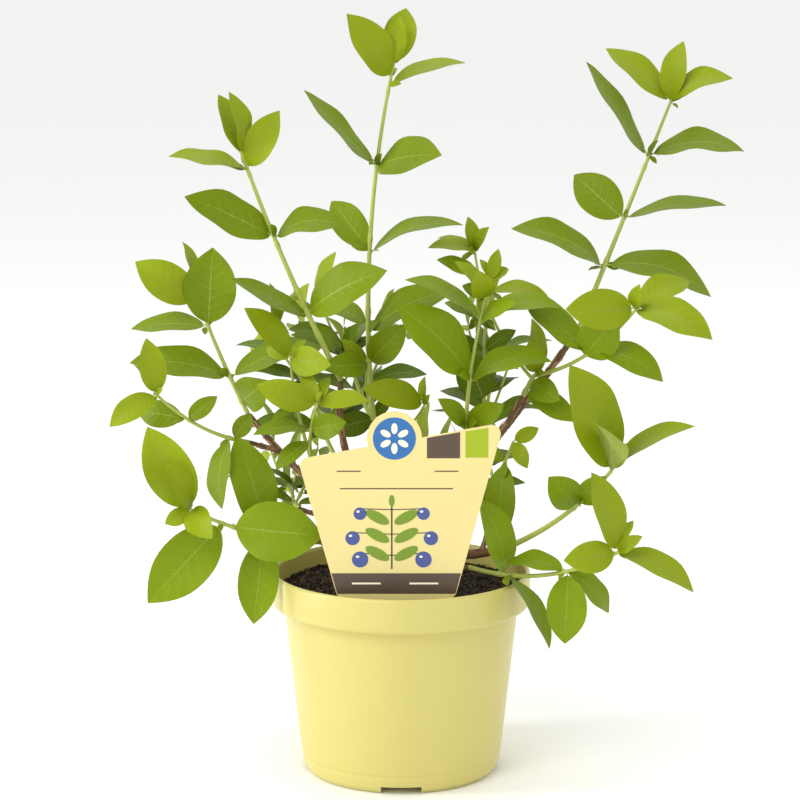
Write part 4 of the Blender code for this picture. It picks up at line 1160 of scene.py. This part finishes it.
def tint_of(mass, share):
    """Base colour of a leaf: the young one near a shoot's tip, else its spray's; inside and at the
    back it is painted shade.
    """
    if share >= 0.9:
        return "young"
    return "painted_shade" if mass in PAINTED_SHADE_SPRAYS else "bright" if mass in BRIGHT else "middle"


tints = np.array([tint_of(mass, share) for mass, share, _, _ in leaves])
print({tint: int((tints == tint).sum()) for tint in TINTS})

# %% Upper and under skins of the blades
def add_blades(name, pick, shade, hand):
    """Upper (hand 1) or under (hand -1) skins of the picked blades as one piece.

    Both are split along the same diagonals, so that they can't cross near the edge.
    """
    form = tuple(value[pick] for value in blades)
    count = len(form[0])
    corners = blade(form, grid_u, grid_v, hand * thick).reshape(-1, 3)
    quads = grid_faces(ROWS, COLUMNS)
    triangles = np.concatenate([quads[:, (0, 1, 2)], quads[:, (0, 2, 3)]])
    faces = copies(len(grid_u), triangles[:, ::hand], count)
    uv = np.tile(np.column_stack([grid_u, 0.5 + 0.5 * grid_v]), (count, 1))
    owners = sorted({leaf_row[0] for leaf_row, taken in zip(leaves, pick) if taken})
    add_piece(name, (corners, faces), shade, owners, SMOOTH, uv)


for tint, colour in TINTS.items():
    shade = leaf_finish(f"{tint}_leaf_skin", colour, 0.46)
    add_blades(f"leaf_tops_{tint}", tints == tint, shade, 1)
add_blades("leaf_undersides", lengths > 0, leaf_finish("leaf_underside_skin", "99A64B", 0.6), -1)

# %% Midribs and side veins
RIB_STEPS = 14
VEIN_STEPS = 7
VEIN_PAIRS = 6
EDGES = np.array((-1, 1))


def ribbon(u, v, lift, order):
    """Narrow strip on every blade, with a row of left and right edge for each step."""
    corners = blade(blades, u.ravel(), v.ravel(), lift.ravel()).reshape(-1, 3)
    return corners, copies(u.size, grid_faces(len(u), 2)[:, ::order], len(lengths))


def add_veins(name, colour, hand):
    """Raised midrib and pairs of side veins on one side of every blade."""
    u = np.linspace(0, 0.97, RIB_STEPS)[:, None] * np.ones(2)
    v = 0.035 * (1 - 0.5 * u) * EDGES
    ribs = [ribbon(u, v, hand * (0.1 * np.sin(np.pi * u) + 0.05), hand)]
    out = np.linspace(0, 1, VEIN_STEPS)[:, None] * np.ones(2)
    for number in range(VEIN_PAIRS):
        for way in (-1, 1):
            u = 0.07 + 0.13 * number + 0.15 * out ** 1.2 + 0.0035 * (1 - 0.7 * out) * EDGES
            v = way * (0.03 + 0.72 * out)
            lift = hand * (0.1 * (1 - v ** 6) * np.sin(np.pi * u) + 0.03)
            ribs.append(ribbon(u, v, lift, -hand * way))
    shade = finish(f"{name}_skin", colour, 0.5, 0.001, 0.00003)
    add_piece(name, joined(ribs), shade, sprays, SMOOTH)


add_veins("veins_on_tops", "89981E", 1)
add_veins("veins_on_undersides", "B6BE76", -1)

# %% [markdown]
# ## The studio
# The photo shows the plant cut out on white. A wide sheet of pale paper under a bright
# even sky gives the same flat background from every side, and soft lights from above
# give the leaves their form. A tall strip at the left makes the long soft highlight on
# the pot, and a long lens from a little above gives the photo's view.

# %% Paper, lights and camera
# Half the side of the sheet of paper, in millimetres
PAPER_REACH = 20000.0
sheet = PAPER_REACH * np.array(((-1, -1, 0), (1, -1, 0), (1, 1, 0), (-1, 1, 0)))
paper = linked("paper_floor", mesh_of("paper_floor", (sheet, [(0, 1, 2, 3)])))
paper.data.materials.append(finish("matte_white_paper", "FBFBFA", 0.9, 0.02, 0.00001))


def add_light(name, place, aim, size, power):
    """Soft rectangular light at a place in metres, turned to its aim."""
    lamp = bpy.data.lights.new(name, 'AREA')
    lamp.shape = 'RECTANGLE'
    lamp.size, lamp.size_y = size
    lamp.energy = power
    light = linked(name, lamp)
    light.location = place
    light.rotation_euler = (Vector(aim) - Vector(place)).to_track_quat('-Z', 'Y').to_euler()


middle = (0.0, 0.0, 0.2)
add_light("key_light", (-0.9, -1.4, 1.5), middle, (0.8, 0.8), 10.0)
add_light("fill_light", (1.4, -1.3, 0.8), middle, (1.2, 1.2), 2.0)
add_light("top_light", (0.1, 0.5, 1.8), middle, (1.2, 1.2), 6.0)
add_light("strip_light", (-1.0, -0.2, 0.3), (0.0, 0.0, 0.1), (0.16, 1.1), 7.0)
world = bpy.context.scene.world or bpy.data.worlds.new("studio_air")
bpy.context.scene.world = world
world.use_nodes = True
air = world.node_tree.nodes["Background"]
air.inputs["Color"].default_value = (1.0, 1.0, 1.0, 1.0)
air.inputs["Strength"].default_value = 0.92
bpy.context.scene.view_settings.view_transform = 'Standard'
lens = bpy.data.cameras.new("photo_camera")
lens.lens = 130.0
lens.sensor_width = 36.0
camera = linked("photo_camera", lens)
camera.location = (-0.0006, -1.415, 0.4515)
camera.rotation_euler = (math.radians(79.5), 0.0, 0.0)
bpy.context.scene.camera = camera
print("camera", round(-camera.location.y, 3), "m in front of the pot")
